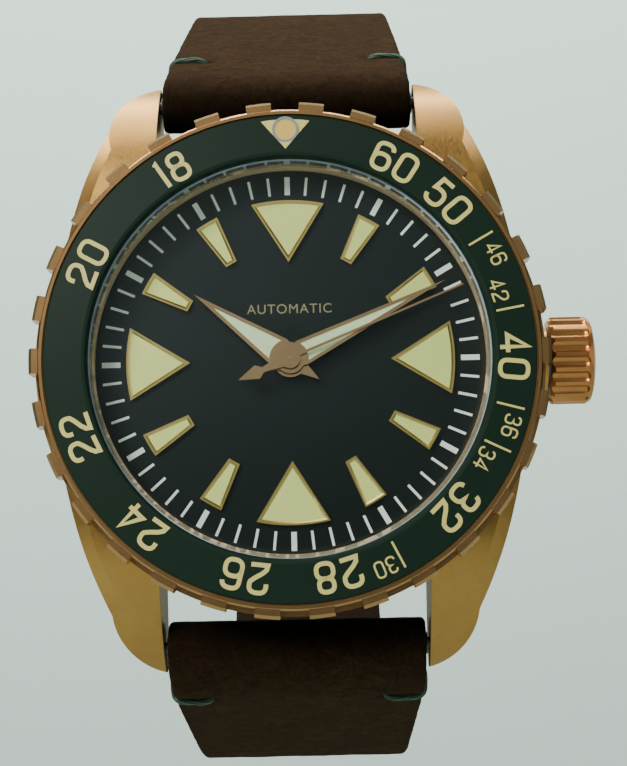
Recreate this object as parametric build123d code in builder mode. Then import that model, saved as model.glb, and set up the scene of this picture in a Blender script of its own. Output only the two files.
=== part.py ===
"""A bronze dive watch on a leather strap.

Millimetres. +X points to 3 o'clock, +Z to 12 o'clock, and the dial faces -Y.
The origin is the middle of the case back's outer face, and height is measured from there
towards the crystal, so a point at height h has y = -h. Angles round the dial are clock
angles: degrees clockwise from 12 o'clock.
"""
from build123d import *
from math import atan2, cos, degrees, radians, sin
import os

os.makedirs("parts", exist_ok=True)

# ---------------------------------------------------------------- driving dimensions
LUG_GAP = 22.0
LUG_SPAN = 25.2            # from the middle to a lug's tip
CASE_HALF_WIDTH = 19.6
LUG_END_HALF_WIDTH = 15.0  # outer side of a lug where its tip starts to round
DECK = 9.15                # top of the case under the bezel
CASE_BOTTOM = 1.3
NECK_R = 18.2              # the case's neck, which carries the bezel
NECK_BORE_R = 17.0
NECK_TOP = 11.35
MOVEMENT_BORE_R = 16.45
DIAL_TOP = 8.8
DIAL_R = 16.2
BEZEL_R = 21.1
BEZEL_BOTTOM = 9.3
BEZEL_TOP = 12.2
BEZEL_TEETH = 30
INSERT_R = 19.9
INSERT_HOLE_R = 16.3
GLASS_R = 16.0
GLASS_TOP = 13.1
BAR_Z = 23.2               # spring bar axis, from the middle
BAR_HEIGHT = 3.9
BAR_R = 0.9
STEM_HEIGHT = 5.7
CROWN_R = 3.65
CROWN_START = 21.45
CROWN_END = 25.4
STRAP_HALF_WIDTH = 10.65
BUCKLE_HALF_WIDTH = 9.0
STRAP_T = 3.0
FOLD_R = 2.2               # leather folded round a spring bar
RUNNING = 0.05             # radial play of a shaft in its hole

# each stretch of a strap half: heading at its start and end, in degrees below the
# dial's plane, and its length
TOP_BENDS = [(40, 60, 5.0), (60, 62, 26.5), (62, 84, 12.0), (84, 90, 31.5)]
BOTTOM_BENDS = [(22, 74, 4.5), (74, 75, 21.5), (75, 90, 10.0), (90, 150, 76.0)]

# the time shown is ten past ten
HOUR_ANGLE = 305.5
MINUTE_ANGLE = 64.0
SECONDS_ANGLE = 67.8

# ---------------------------------------------------------------- planes and helpers
WATCH_AXIS = Axis((0, 0, 0), (0, -1, 0))
RADIAL = Plane(origin=(0, 0, 0), x_dir=(1, 0, 0), z_dir=(0, 0, -1))


def level(height, turn=0, centre=(0, 0)):
    """A plane parallel to the dial whose y axis points to the clock angle turn."""
    a = radians(turn)
    return Plane(origin=(centre[0], -height, centre[1]), x_dir=(cos(a), 0, -sin(a)), z_dir=(0, -1, 0))


def side_plane(side):
    """The plane x = 0, with x towards 12 (side 1) or 6 o'clock (side -1) and y as height."""
    return Plane(origin=(0, 0, 0), x_dir=(0, 0, side), z_dir=(side, 0, 0))


def clock(radius, angle, centre=(0, 0)):
    """The (X, Z) point at a radius and clock angle from a centre."""
    a = radians(angle)
    return (centre[0] + radius * sin(a), centre[1] + radius * cos(a))


def dome_fall(radius, edge_r, rise):
    """How far a spherical dome lies below its top at a radius, given its edge and rise."""
    sphere_r = (edge_r**2 + rise**2) / (2 * rise)
    return sphere_r - (sphere_r**2 - radius**2) ** 0.5


def turned(points, mode=Mode.ADD):
    """Revolves a closed outline of (radius, height) points about the watch's axis."""
    with BuildSketch(RADIAL) as outline:
        with BuildLine():
            Polyline(*points, close=True)
        make_face()
    revolve(outline.sketch, axis=WATCH_AXIS, mode=mode)


def disc(radius, bottom, top, centre=(0, 0), mode=Mode.ADD):
    """A cylinder standing between two heights."""
    with BuildSketch(level(bottom, 0, centre)) as outline:
        Circle(radius)
    extrude(outline.sketch, amount=top - bottom, mode=mode)


def ring(outer, inner, bottom, top, centre=(0, 0), mode=Mode.ADD):
    """A flat ring standing between two heights."""
    with BuildSketch(level(bottom, 0, centre)) as outline:
        Circle(outer)
        Circle(inner, mode=Mode.SUBTRACT)
    extrude(outline.sketch, amount=top - bottom, mode=mode)


def slab(points, bottom, top, turn=0, centre=(0, 0), mode=Mode.ADD):
    """A flat piece with a polygon outline, standing between two heights."""
    with BuildSketch(level(bottom, turn, centre)) as outline:
        with BuildLine():
            Polyline(*points, close=True)
        make_face()
    extrude(outline.sketch, amount=top - bottom, mode=mode)


def rod(radius, start, end, height=STEM_HEIGHT, z=0.0, mode=Mode.ADD):
    """A cylinder along X between two places."""
    with BuildSketch(Plane(origin=(start, -height, z), x_dir=(0, 0, 1), z_dir=(1, 0, 0))) as outline:
        Circle(radius)
    extrude(outline.sketch, amount=end - start, mode=mode)


def wheel(teeth, module, bottom, top, centre=(0, 0), turn=0, hub=0.0, spokes=0):
    """A toothed wheel. Its teeth are thin enough to run free, and one points to turn."""
    pitch_r = teeth * module / 2
    tip_r = pitch_r + 0.7 * module
    root_r = pitch_r - 1.1 * module
    step = 360 / teeth
    points = []
    for i in range(teeth):
        for radius, share in ((root_r, -0.27), (tip_r, -0.09), (tip_r, 0.09), (root_r, 0.27)):
            points.append(clock(radius, step * (i + share)))
    with BuildSketch(level(bottom, turn, centre)) as outline:
        with BuildLine():
            Polyline(*points, close=True)
        make_face()
        if spokes:
            rim_r = root_r - 0.3
            Circle(rim_r, mode=Mode.SUBTRACT)
            Circle(hub)
            with PolarLocations(rim_r / 2, spokes):
                Rectangle(rim_r + 0.2, 0.35)
    extrude(outline.sketch, amount=top - bottom)


def spiral(start_r, pitch, turns, thickness, bottom, top, centre):
    """A flat coil spring of even pitch."""
    per_turn = 30
    outer = []
    inner = []
    for i in range(int(turns * per_turn) + 1):
        radius = start_r + pitch * i / per_turn
        outer.append(clock(radius + thickness, 360 * i / per_turn))
        inner.append(clock(radius, 360 * i / per_turn))
    slab(outer + inner[::-1], bottom, top, centre=centre)


def along(bends, distance, out=0.0):
    """A strap's (z, height) at a distance from its spring bar, out from its middle line."""
    z = BAR_Z
    height = BAR_HEIGHT
    for start, end, length in bends:
        run = min(distance, length)
        radius = length / radians(end - start)
        a = radians(start)
        b = radians(start + (end - start) * run / length)
        z += radius * (sin(b) - sin(a))
        height += radius * (cos(b) - cos(a))
        distance -= run
        if distance <= 0:
            break
    return (z + out * sin(b), height + out * cos(b))


def heading(bends, distance):
    """A strap's direction at a distance from its spring bar, in degrees below the dial."""
    for start, end, length in bends:
        if distance <= length:
            break
        distance -= length
    return start + (end - start) * min(distance, length) / length


def on_strap(side, bends, distance, out=0.0):
    """A plane on a strap: y runs along the strap and z points away from the wrist."""
    z, height = along(bends, distance, out)
    a = radians(heading(bends, distance))
    return Plane(origin=(0, -height, side * z), x_dir=(side, 0, 0), z_dir=(0, -cos(a), side * sin(a)))


def across_strap(side, bends, distance):
    """A plane that cuts a strap square: x runs across it and y points away from the wrist."""
    z, height = along(bends, distance)
    a = radians(heading(bends, distance))
    return Plane(origin=(0, -height, side * z), x_dir=(1, 0, 0), z_dir=(0, -sin(a), -side * cos(a)))


def half_width(side, bends, distance):
    """Half of a strap's width, which falls with its depth behind the spring bar."""
    depth = BAR_HEIGHT - along(bends, distance)[1]
    full_depth = TAPER_DEPTH[side]
    share = min(max(depth / full_depth, 0), 1)
    return STRAP_HALF_WIDTH + (BUCKLE_HALF_WIDTH - STRAP_HALF_WIDTH) * share


def strap_body(side, bends):
    """One strap half: a bent strip with a fold round its spring bar, tapered to the buckle."""
    with BuildSketch(side_plane(side)) as profile:
        with BuildLine():
            place = 0
            for start, end, length in bends:
                ThreePointArc(
                    along(bends, place, STRAP_T / 2),
                    along(bends, place + length / 2, STRAP_T / 2),
                    along(bends, place + length, STRAP_T / 2),
                )
                place += length
            Line(along(bends, place, STRAP_T / 2), along(bends, place, -STRAP_T / 2))
            for start, end, length in bends[::-1]:
                ThreePointArc(
                    along(bends, place, -STRAP_T / 2),
                    along(bends, place - length / 2, -STRAP_T / 2),
                    along(bends, place - length, -STRAP_T / 2),
                )
                place -= length
            Line(along(bends, 0, -STRAP_T / 2), along(bends, 0, STRAP_T / 2))
        make_face()
        with Locations((BAR_Z, BAR_HEIGHT)):
            Circle(FOLD_R)
            Circle(BAR_R + RUNNING, mode=Mode.SUBTRACT)
    extrude(profile.sketch, amount=STRAP_HALF_WIDTH, both=True)
    depth = TAPER_DEPTH[side]
    with BuildSketch(Plane.XY.offset(-150)) as taper:
        with BuildLine():
            Polyline(
                (-STRAP_HALF_WIDTH, -10),
                (STRAP_HALF_WIDTH, -10),
                (STRAP_HALF_WIDTH, -BAR_HEIGHT),
                (BUCKLE_HALF_WIDTH, depth - BAR_HEIGHT),
                (BUCKLE_HALF_WIDTH, 130),
                (-BUCKLE_HALF_WIDTH, 130),
                (-BUCKLE_HALF_WIDTH, depth - BAR_HEIGHT),
                (-STRAP_HALF_WIDTH, -BAR_HEIGHT),
                close=True,
            )
        make_face()
    extrude(taper.sketch, amount=300, mode=Mode.INTERSECT)


def tack_stitches(side, bends, distance, inboard):
    """Two thread loops, each over one edge of the strap, from a hole some way inboard."""
    thread = 0.5
    edge = half_width(side, bends, distance) + 0.06
    face = STRAP_T / 2 + 0.06
    for hand in (-1, 1):
        with BuildSketch(across_strap(side, bends, distance)) as loop:
            with BuildLine():
                Polyline(
                    (hand * (edge - inboard), face),
                    (hand * edge, face),
                    (hand * edge, -face),
                    (hand * (edge - inboard), -face),
                    (hand * (edge - inboard), -face - thread),
                    (hand * (edge + thread), -face - thread),
                    (hand * (edge + thread), face + thread),
                    (hand * (edge - inboard), face + thread),
                    close=True,
                )
            make_face()
        extrude(loop.sketch, amount=thread / 2, both=True)


def keeper_loop(side, bends, distance, play, length, band):
    """A leather loop round the strap, with room for the other half's tail above it."""
    width = 2 * (half_width(side, bends, distance - length / 2) + play)
    low = -STRAP_T / 2 - play
    high = STRAP_T / 2 + 0.3 + STRAP_T + 0.3
    with BuildSketch(across_strap(side, bends, distance)) as loop:
        with Locations((0, (low + high) / 2)):
            RectangleRounded(width + 2 * band, high - low + 2 * band, band)
            Rectangle(width, high - low, mode=Mode.SUBTRACT)
    extrude(loop.sketch, amount=length / 2, both=True)


# how far behind the spring bar each half reaches its full taper
TAPER_DEPTH = {1: 70.0, -1: 70.0}

# ================================================================ case
LUG_INNER = LUG_GAP / 2
GLASS_SEAT = 10.9          # top of the rehaut ring, which the crystal stands on
GLASS_EDGE_R = GLASS_R - 0.35
GLASS_RISE = 0.45
BACK_THREAD_R = 16.5
BACK_THREAD_TOP = 3.2

with BuildPart() as mid_case:
    # side view: flat deck, lugs that fall away to rounded tips
    with BuildSketch(side_plane(1)):
        with BuildLine():
            Line((0, DECK), (13.0, DECK))
            ThreePointArc((13.0, DECK), (20.0, 7.35), (LUG_SPAN - 0.1, 3.1))
            ThreePointArc((LUG_SPAN - 0.1, 3.1), (LUG_SPAN, 1.7), (LUG_SPAN - 1.1, 0.75))
            Line((LUG_SPAN - 1.1, 0.75), (22.0, 0.6))
            Line((22.0, 0.6), (17.8, CASE_BOTTOM))
            Line((17.8, CASE_BOTTOM), (0, CASE_BOTTOM))
            Line((0, CASE_BOTTOM), (0, DECK))
        make_face()
        mirror(about=Plane.YZ)
    extrude(amount=CASE_HALF_WIDTH, both=True)
    # front view: gently bowed flanks that round in at the lug tips
    with BuildSketch(level(0)):
        with BuildLine():
            ThreePointArc((LUG_END_HALF_WIDTH, 20.6), (CASE_HALF_WIDTH, 0), (LUG_END_HALF_WIDTH, -20.6))
            ThreePointArc((LUG_END_HALF_WIDTH, -20.6), (13.75, -23.5), (LUG_INNER, -LUG_SPAN))
            Line((LUG_INNER, -LUG_SPAN), (0, -LUG_SPAN))
            Line((0, -LUG_SPAN), (0, LUG_SPAN))
            Line((0, LUG_SPAN), (LUG_INNER, LUG_SPAN))
            ThreePointArc((LUG_INNER, LUG_SPAN), (13.75, 23.5), (LUG_END_HALF_WIDTH, 20.6))
        make_face()
        mirror(about=Plane.YZ)
    extrude(amount=DECK, mode=Mode.INTERSECT)
    # polished facets along the outer shoulders of the lugs
    shoulder = mid_case.edges().filter_by(
        lambda e: abs(e.center().X) > 14.2 and -e.center().Y > 4.0 and abs(e.center().Z) > 8
    )
    chamfer(shoulder, length=1.1, length2=0.8)
    # neck for the bezel, and the boss that the crown tube is pressed into
    disc(NECK_R, DECK, NECK_TOP)
    rod(2.9, 17.0, CROWN_START - 0.2)
    # room for the strap between the lugs
    with BuildSketch(level(0)):
        for side in (1, -1):
            with Locations((0, side * 30)):
                Rectangle(LUG_GAP, 60)
        Circle(19.0, mode=Mode.SUBTRACT)
    extrude(amount=DECK, mode=Mode.SUBTRACT)
    # bores for the back's thread, the movement, the rehaut ring and the crystal
    disc(BACK_THREAD_R, 0, BACK_THREAD_TOP, mode=Mode.SUBTRACT)
    disc(MOVEMENT_BORE_R, 0, DIAL_TOP, mode=Mode.SUBTRACT)
    disc(NECK_BORE_R, DIAL_TOP, NECK_TOP, mode=Mode.SUBTRACT)
    # grooves for the back's gasket, the bezel's retaining ring and the click spring
    ring(NECK_BORE_R, BACK_THREAD_R, CASE_BOTTOM, CASE_BOTTOM + 0.45, mode=Mode.SUBTRACT)
    ring(NECK_R + 0.1, NECK_R - 0.25, 10.0, 10.4, mode=Mode.SUBTRACT)
    ring(19.3, 18.45, DECK - 0.2, DECK, mode=Mode.SUBTRACT)
    rod(1.9, 15.0, CROWN_START, mode=Mode.SUBTRACT)
    # blind holes for the spring bars' tips
    for side in (1, -1):
        rod(0.55, -12.6, 12.6, BAR_HEIGHT, side * BAR_Z, mode=Mode.SUBTRACT)
mid_case.part.label = "mid_case"

with BuildPart() as case_back:
    disc(17.4, 0, CASE_BOTTOM)
    disc(BACK_THREAD_R, CASE_BOTTOM, BACK_THREAD_TOP - 0.1)
    disc(15.4, 1.2, BACK_THREAD_TOP, mode=Mode.SUBTRACT)
    # six notches for the case key
    with BuildSketch(level(0)):
        with PolarLocations(17.3, 6):
            Rectangle(2.4, 2.6)
    extrude(amount=0.8, mode=Mode.SUBTRACT)
    chamfer(case_back.edges().filter_by(GeomType.CIRCLE).group_by(Axis.Y)[-1], length=0.3)
case_back.part.label = "case_back"

with BuildPart() as case_back_gasket:
    ring(NECK_BORE_R, BACK_THREAD_R, CASE_BOTTOM, CASE_BOTTOM + 0.45)
case_back_gasket.part.label = "case_back_gasket"

with BuildPart() as rehaut_ring:
    turned([
        (16.1, DIAL_TOP),
        (NECK_BORE_R, DIAL_TOP),
        (NECK_BORE_R, GLASS_SEAT),
        (15.9, GLASS_SEAT),
    ])
rehaut_ring.part.label = "rehaut_ring"

with BuildPart() as crystal:
    with BuildSketch(RADIAL):
        with BuildLine():
            Line((16.6, GLASS_SEAT), (16.6, GLASS_SEAT + 0.4))
            Line((16.6, GLASS_SEAT + 0.4), (GLASS_R, GLASS_SEAT + 0.4))
            Line((GLASS_R, GLASS_SEAT + 0.4), (GLASS_R, 12.35))
            Line((GLASS_R, 12.35), (GLASS_EDGE_R, GLASS_TOP - GLASS_RISE))
            ThreePointArc(
                (GLASS_EDGE_R, GLASS_TOP - GLASS_RISE),
                (8.0, GLASS_TOP - dome_fall(8.0, GLASS_EDGE_R, GLASS_RISE)),
                (0, GLASS_TOP),
            )
            Line((0, GLASS_TOP), (0, GLASS_SEAT + 0.5))
            ThreePointArc(
                (0, GLASS_SEAT + 0.5),
                (8.0, GLASS_SEAT + 0.5 - dome_fall(8.0, 15.8, 0.5)),
                (15.8, GLASS_SEAT),
            )
            Line((15.8, GLASS_SEAT), (16.6, GLASS_SEAT))
        make_face()
    revolve(axis=WATCH_AXIS)
crystal.part.label = "crystal"

with BuildPart() as crystal_gasket:
    ring(NECK_BORE_R, 16.6, GLASS_SEAT, GLASS_SEAT + 0.4)
crystal_gasket.part.label = "crystal_gasket"

with BuildPart() as bezel_retaining_ring:
    ring(NECK_R + 0.25, NECK_R - 0.25, 10.0, 10.4)
    with BuildSketch(level(10.0)):
        with Locations((0, -NECK_R)):
            Rectangle(1.2, 2.0)
    extrude(amount=0.4, mode=Mode.SUBTRACT)
bezel_retaining_ring.part.label = "bezel_retaining_ring"

with BuildPart() as bezel_click_spring:
    ring(19.3, 18.45, DECK - 0.2, DECK)
    for angle in (30, 150, 270):
        with BuildSketch(level(DECK, angle)):
            with Locations((0, 18.9)):
                Rectangle(2.2, 0.6)
        extrude(amount=0.28)
bezel_click_spring.part.label = "bezel_click_spring"

# ================================================================ bezel
INSERT_SEAT = 11.8
with BuildPart() as bezel_ring:
    turned([
        (NECK_R + 0.1, 9.8),
        (19.5, 9.8),
        (19.5, BEZEL_BOTTOM),
        (20.85, BEZEL_BOTTOM),
        (20.85, 9.9),
        (20.4, 9.9),
        (20.4, BEZEL_TOP - 0.15),
        (20.25, BEZEL_TOP),
        (20.0, BEZEL_TOP),
        (20.0, INSERT_SEAT),
        (16.6, INSERT_SEAT),
        (16.6, 11.45),
        (NECK_R + 0.1, 11.45),
        (NECK_R + 0.1, 10.5),
        (NECK_R + 0.4, 10.5),
        (NECK_R + 0.4, 9.9),
        (NECK_R + 0.1, 9.9),
    ])
    # grip teeth, with a gap at 12 o'clock
    tooth_bottom = 9.7
    with BuildSketch(level(tooth_bottom)) as teeth:
        with PolarLocations(20.75, BEZEL_TEETH, start_angle=90 + 180 / BEZEL_TEETH):
            Rectangle(0.9, 2.05)
    extrude(teeth.sketch, amount=BEZEL_TOP - 0.06 - tooth_bottom)
    ring(BEZEL_R + 1, BEZEL_R, BEZEL_BOTTOM, BEZEL_TOP, mode=Mode.SUBTRACT)
    turned([(BEZEL_R, 12.3), (BEZEL_R, 11.8), (BEZEL_R - 0.4, 12.3)], mode=Mode.SUBTRACT)
    turned([(BEZEL_R, 9.6), (BEZEL_R, 9.9), (BEZEL_R - 0.3, 9.6)], mode=Mode.SUBTRACT)
    # ratchet teeth for the click spring, under the bezel
    with BuildSketch(level(9.5)) as ratchet:
        with PolarLocations(18.85, 60):
            Rectangle(0.9, 0.9)
    extrude(ratchet.sketch, amount=0.35)
bezel_ring.part.label = "bezel_ring"

PIP_RADIUS_ON_INSERT = 18.64
PIP_CUP_R = 1.08
with BuildPart() as bezel_insert:
    turned([
        (INSERT_HOLE_R, INSERT_SEAT),
        (INSERT_R, INSERT_SEAT),
        (INSERT_R, 12.1),
        (INSERT_R - 0.08, 12.17),
        (16.75, 12.45),
        (16.5, 12.42),
        (INSERT_HOLE_R, 12.2),
    ])
    disc(PIP_CUP_R, INSERT_SEAT, 13, (0, PIP_RADIUS_ON_INSERT), mode=Mode.SUBTRACT)
bezel_insert.part.label = "bezel_insert"

with BuildPart() as bezel_pip_cup:
    disc(PIP_CUP_R, INSERT_SEAT, 12.4, (0, PIP_RADIUS_ON_INSERT))
    disc(PIP_CUP_R - 0.2, 11.95, 12.4, (0, PIP_RADIUS_ON_INSERT), mode=Mode.SUBTRACT)
bezel_pip_cup.part.label = "bezel_pip_cup"

with BuildPart() as bezel_pip_lume:
    disc(PIP_CUP_R - 0.2, 11.95, 12.36, (0, PIP_RADIUS_ON_INSERT))
bezel_pip_lume.part.label = "bezel_pip_lume"

# ================================================================ dial
MARKER_OUTER_R = 13.5
MARKER_TOP = DIAL_TOP + 0.4
FOOT_ANGLES = (52, 232)

with BuildPart() as dial_plate:
    disc(DIAL_R, DIAL_TOP - 0.4, DIAL_TOP)
    for angle in FOOT_ANGLES:
        disc(0.35, 7.4, DIAL_TOP - 0.4, clock(11.0, angle))
    disc(1.1, 8, 9, mode=Mode.SUBTRACT)
dial_plate.part.label = "dial_plate"


def marker(angle, inset=0.0, height=DIAL_TOP):
    """An hour marker's outline: narrow towards the middle and rounded outside."""
    tip_r, tip_half, corner = (8.25, 0.0, 3.02) if angle % 90 == 0 else (9.45, 0.5, 1.0)
    outer = MARKER_OUTER_R - inset
    corner -= inset * (1.5 if angle % 90 == 0 else 1)
    corner_y = (outer**2 - corner**2) ** 0.5
    with BuildSketch(level(height, angle)) as outline:
        with BuildLine():
            if tip_half:
                inner_half = tip_half - inset * 0.9
                Line((-inner_half, tip_r + inset), (inner_half, tip_r + inset))
                Line((inner_half, tip_r + inset), (corner, corner_y))
                Line((-corner, corner_y), (-inner_half, tip_r + inset))
            else:
                Line((0, tip_r + 2 * inset), (corner, corner_y))
                Line((-corner, corner_y), (0, tip_r + 2 * inset))
            ThreePointArc((corner, corner_y), (0, outer), (-corner, corner_y))
        make_face()
    return outline.sketch


with BuildPart() as hour_marker_frames:
    for angle in range(0, 360, 30):
        extrude(marker(angle), amount=MARKER_TOP - DIAL_TOP)
        extrude(marker(angle, 0.3), amount=1, mode=Mode.SUBTRACT)
        # a slope from the flat rim down to the lume
        extrude(marker(angle, 0.3, MARKER_TOP - 0.1), amount=0.1, taper=-56, mode=Mode.SUBTRACT)
hour_marker_frames.part.label = "hour_marker_frames"

with BuildPart() as hour_marker_lume:
    for angle in range(0, 360, 30):
        extrude(marker(angle, 0.3), amount=0.3)
hour_marker_lume.part.label = "hour_marker_lume"

# ================================================================ movement
PLATE_R = 12.8
PLATE_BOTTOM = 6.6
PLATE_TOP = 8.0
RIM_INNER_R = 11.7
BRIDGE_BOTTOM = 3.45
BRIDGE_TOP = 4.2
MOTION_FLOOR = 7.15

BARREL_AT = clock(5.46, 315)
THIRD_ANGLE = 60
THIRD_AT = clock(4.5, THIRD_ANGLE)
ESCAPE_ANGLE = 150
ESCAPE_AT = clock(4.4, ESCAPE_ANGLE)
PALLET_AT = clock(2.75, 225, ESCAPE_AT)
BALANCE_AT = clock(3.9, 240, PALLET_AT)
MINUTE_WHEEL_ANGLE = 120
MINUTE_WHEEL_AT = clock(2.4, MINUTE_WHEEL_ANGLE)
JEWEL_R = 0.5
PIVOT_R = 0.11
PIVOTS = (THIRD_AT, ESCAPE_AT, PALLET_AT, BALANCE_AT)
SCREW_R = 12.1
SCREW_ANGLES = (20, 110, 285)
COCK_ANGLE = degrees(atan2(BALANCE_AT[0], BALANCE_AT[1])) % 360
COCK_INNER = (BALANCE_AT[0] ** 2 + BALANCE_AT[1] ** 2) ** 0.5

with BuildPart() as movement_holder:
    ring(16.4, PLATE_R + 0.05, 3.4, DIAL_TOP - 0.4)
    rod(0.9, 11.0, 17.0, mode=Mode.SUBTRACT)
movement_holder.part.label = "movement_holder"

with BuildPart() as main_plate:
    disc(PLATE_R, PLATE_BOTTOM, PLATE_TOP)
    ring(PLATE_R, RIM_INNER_R, BRIDGE_TOP, PLATE_BOTTOM)
    # barrel pocket below, motion work recess above, holes for arbors and dial feet
    disc(4.95, PLATE_BOTTOM, 7.0, BARREL_AT, mode=Mode.SUBTRACT)
    disc(0.6, 7.0, 7.1, BARREL_AT, mode=Mode.SUBTRACT)
    disc(2.3, MOTION_FLOOR, PLATE_TOP, mode=Mode.SUBTRACT)
    disc(2.15, MOTION_FLOOR, PLATE_TOP, MINUTE_WHEEL_AT, mode=Mode.SUBTRACT)
    disc(0.25, 6.9, MOTION_FLOOR, MINUTE_WHEEL_AT, mode=Mode.SUBTRACT)
    disc(0.66, PLATE_BOTTOM, PLATE_TOP, mode=Mode.SUBTRACT)
    for pivot in PIVOTS:
        disc(JEWEL_R, PLATE_BOTTOM, PLATE_BOTTOM + 0.5, pivot, mode=Mode.SUBTRACT)
    for angle in FOOT_ANGLES:
        disc(0.35, 7.3, PLATE_TOP, clock(11.0, angle), mode=Mode.SUBTRACT)
    for angle in SCREW_ANGLES + (COCK_ANGLE,):
        disc(0.3, BRIDGE_TOP, 5.6, clock(SCREW_R, angle), mode=Mode.SUBTRACT)
    rod(0.65, 11.0, 13.0, mode=Mode.SUBTRACT)
main_plate.part.label = "main_plate"

with BuildPart() as train_bridge:
    disc(PLATE_R - 0.1, BRIDGE_BOTTOM, BRIDGE_TOP)
    # open round the balance, out to the edge
    disc(3.5, BRIDGE_BOTTOM, BRIDGE_TOP, BALANCE_AT, mode=Mode.SUBTRACT)
    with BuildSketch(level(BRIDGE_BOTTOM, COCK_ANGLE)):
        with Locations((0, 11)):
            Rectangle(4.4, 6)
    extrude(amount=BRIDGE_TOP - BRIDGE_BOTTOM, mode=Mode.SUBTRACT)
    for pivot in (THIRD_AT, ESCAPE_AT, PALLET_AT, (0, 0)):
        disc(JEWEL_R, BRIDGE_BOTTOM, BRIDGE_TOP, pivot, mode=Mode.SUBTRACT)
    disc(0.6, BRIDGE_BOTTOM, BRIDGE_TOP, BARREL_AT, mode=Mode.SUBTRACT)
    for angle in SCREW_ANGLES:
        disc(0.3, BRIDGE_BOTTOM, BRIDGE_TOP, clock(SCREW_R, angle), mode=Mode.SUBTRACT)
        disc(0.5, BRIDGE_BOTTOM, BRIDGE_BOTTOM + 0.35, clock(SCREW_R, angle), mode=Mode.SUBTRACT)
train_bridge.part.label = "train_bridge"

with BuildPart() as balance_cock:
    reach = PLATE_R - 0.1 - COCK_INNER
    with BuildSketch(level(BRIDGE_BOTTOM, COCK_ANGLE)):
        with Locations((0, COCK_INNER + reach / 2)):
            Rectangle(2.6, reach)
        with Locations((0, COCK_INNER)):
            Circle(1.3)
    extrude(amount=BRIDGE_TOP - BRIDGE_BOTTOM)
    disc(JEWEL_R, BRIDGE_BOTTOM, BRIDGE_TOP, BALANCE_AT, mode=Mode.SUBTRACT)
    disc(0.3, BRIDGE_BOTTOM, BRIDGE_TOP, clock(SCREW_R, COCK_ANGLE), mode=Mode.SUBTRACT)
    disc(0.5, BRIDGE_BOTTOM, BRIDGE_BOTTOM + 0.35, clock(SCREW_R, COCK_ANGLE), mode=Mode.SUBTRACT)
balance_cock.part.label = "balance_cock"

with BuildPart() as movement_screws:
    for angle in SCREW_ANGLES + (COCK_ANGLE,):
        place = clock(SCREW_R, angle)
        disc(0.5, BRIDGE_BOTTOM, BRIDGE_BOTTOM + 0.35, place)
        disc(0.3, BRIDGE_BOTTOM + 0.35, BRIDGE_TOP, place)
        with BuildSketch(level(BRIDGE_BOTTOM, angle, place)) as slot:
            Rectangle(0.14, 1.0)
        extrude(slot.sketch, amount=0.15, mode=Mode.SUBTRACT)
movement_screws.part.label = "movement_screws"

with BuildPart() as jewel_bearings:
    for pivot in PIVOTS:
        disc(JEWEL_R, PLATE_BOTTOM, PLATE_BOTTOM + 0.5, pivot)
        disc(PIVOT_R + 0.03, PLATE_BOTTOM, PLATE_BOTTOM + 0.3, pivot, mode=Mode.SUBTRACT)
    for pivot in PIVOTS + ((0, 0),):
        disc(JEWEL_R, BRIDGE_TOP - 0.3, BRIDGE_TOP, pivot)
        disc(PIVOT_R + 0.03, BRIDGE_TOP - 0.3, BRIDGE_TOP, pivot, mode=Mode.SUBTRACT)
jewel_bearings.part.label = "jewel_bearings"


def arbor(radius, bottom, top, centre):
    """A wheel's shaft with a thin pivot at each end."""
    disc(radius, bottom, top, centre)
    disc(PIVOT_R, BRIDGE_TOP - 0.25, bottom, centre)
    disc(PIVOT_R, top, PLATE_BOTTOM + 0.25, centre)


with BuildPart() as barrel_arbor:
    disc(0.6, BRIDGE_BOTTOM, 7.1, BARREL_AT)
    disc(1.1, 6.2, 6.75, BARREL_AT)
barrel_arbor.part.label = "barrel_arbor"

with BuildPart() as mainspring_barrel:
    wheel(72, 0.13, 5.9, 6.2, BARREL_AT, 135)
    disc(4.3, 6.2, 6.95, BARREL_AT)
    disc(4.1, 6.1, 6.85, BARREL_AT, mode=Mode.SUBTRACT)
    disc(0.65, 5.9, 7.0, BARREL_AT, mode=Mode.SUBTRACT)
mainspring_barrel.part.label = "mainspring_barrel"

with BuildPart() as mainspring:
    spiral(1.2, 0.38, 7, 0.12, 6.15, 6.8, BARREL_AT)
mainspring.part.label = "mainspring"

with BuildPart() as centre_wheel:
    wheel(80, 0.1, 5.55, 5.72, turn=THIRD_ANGLE, hub=0.8, spokes=5)
    wheel(12, 0.13, 5.72, 6.3, turn=315 + 15)
    disc(0.4, 6.3, 8.6)
    disc(0.21, 5.5, 8.6, mode=Mode.SUBTRACT)
centre_wheel.part.label = "centre_wheel"

with BuildPart() as cannon_pinion:
    wheel(12, 0.1, 7.2, 7.5, turn=MINUTE_WHEEL_ANGLE)
    disc(0.45, 7.5, 7.55)
    disc(0.62, 7.55, 10.3)
    disc(0.4, 7.2, 8.6, mode=Mode.SUBTRACT)
    disc(0.2, 8.6, 10.3, mode=Mode.SUBTRACT)
cannon_pinion.part.label = "cannon_pinion"

with BuildPart() as third_wheel:
    wheel(75, 4.5 / 42.5, 4.95, 5.1, THIRD_AT, THIRD_ANGLE + 180, hub=0.7, spokes=5)
    wheel(10, 0.1, 5.5, 5.8, THIRD_AT, THIRD_ANGLE + 180 + 18)
    arbor(0.25, 4.3, 6.5, THIRD_AT)
third_wheel.part.label = "third_wheel"

with BuildPart() as seconds_wheel:
    wheel(80, 0.1, 4.5, 4.68, turn=ESCAPE_ANGLE, hub=0.7, spokes=5)
    wheel(10, 4.5 / 42.5, 4.68, 5.25, turn=THIRD_ANGLE + 18)
    disc(0.15, 5.25, 10.85)
    disc(PIVOT_R, BRIDGE_TOP - 0.25, 4.5)
seconds_wheel.part.label = "seconds_wheel"

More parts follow.
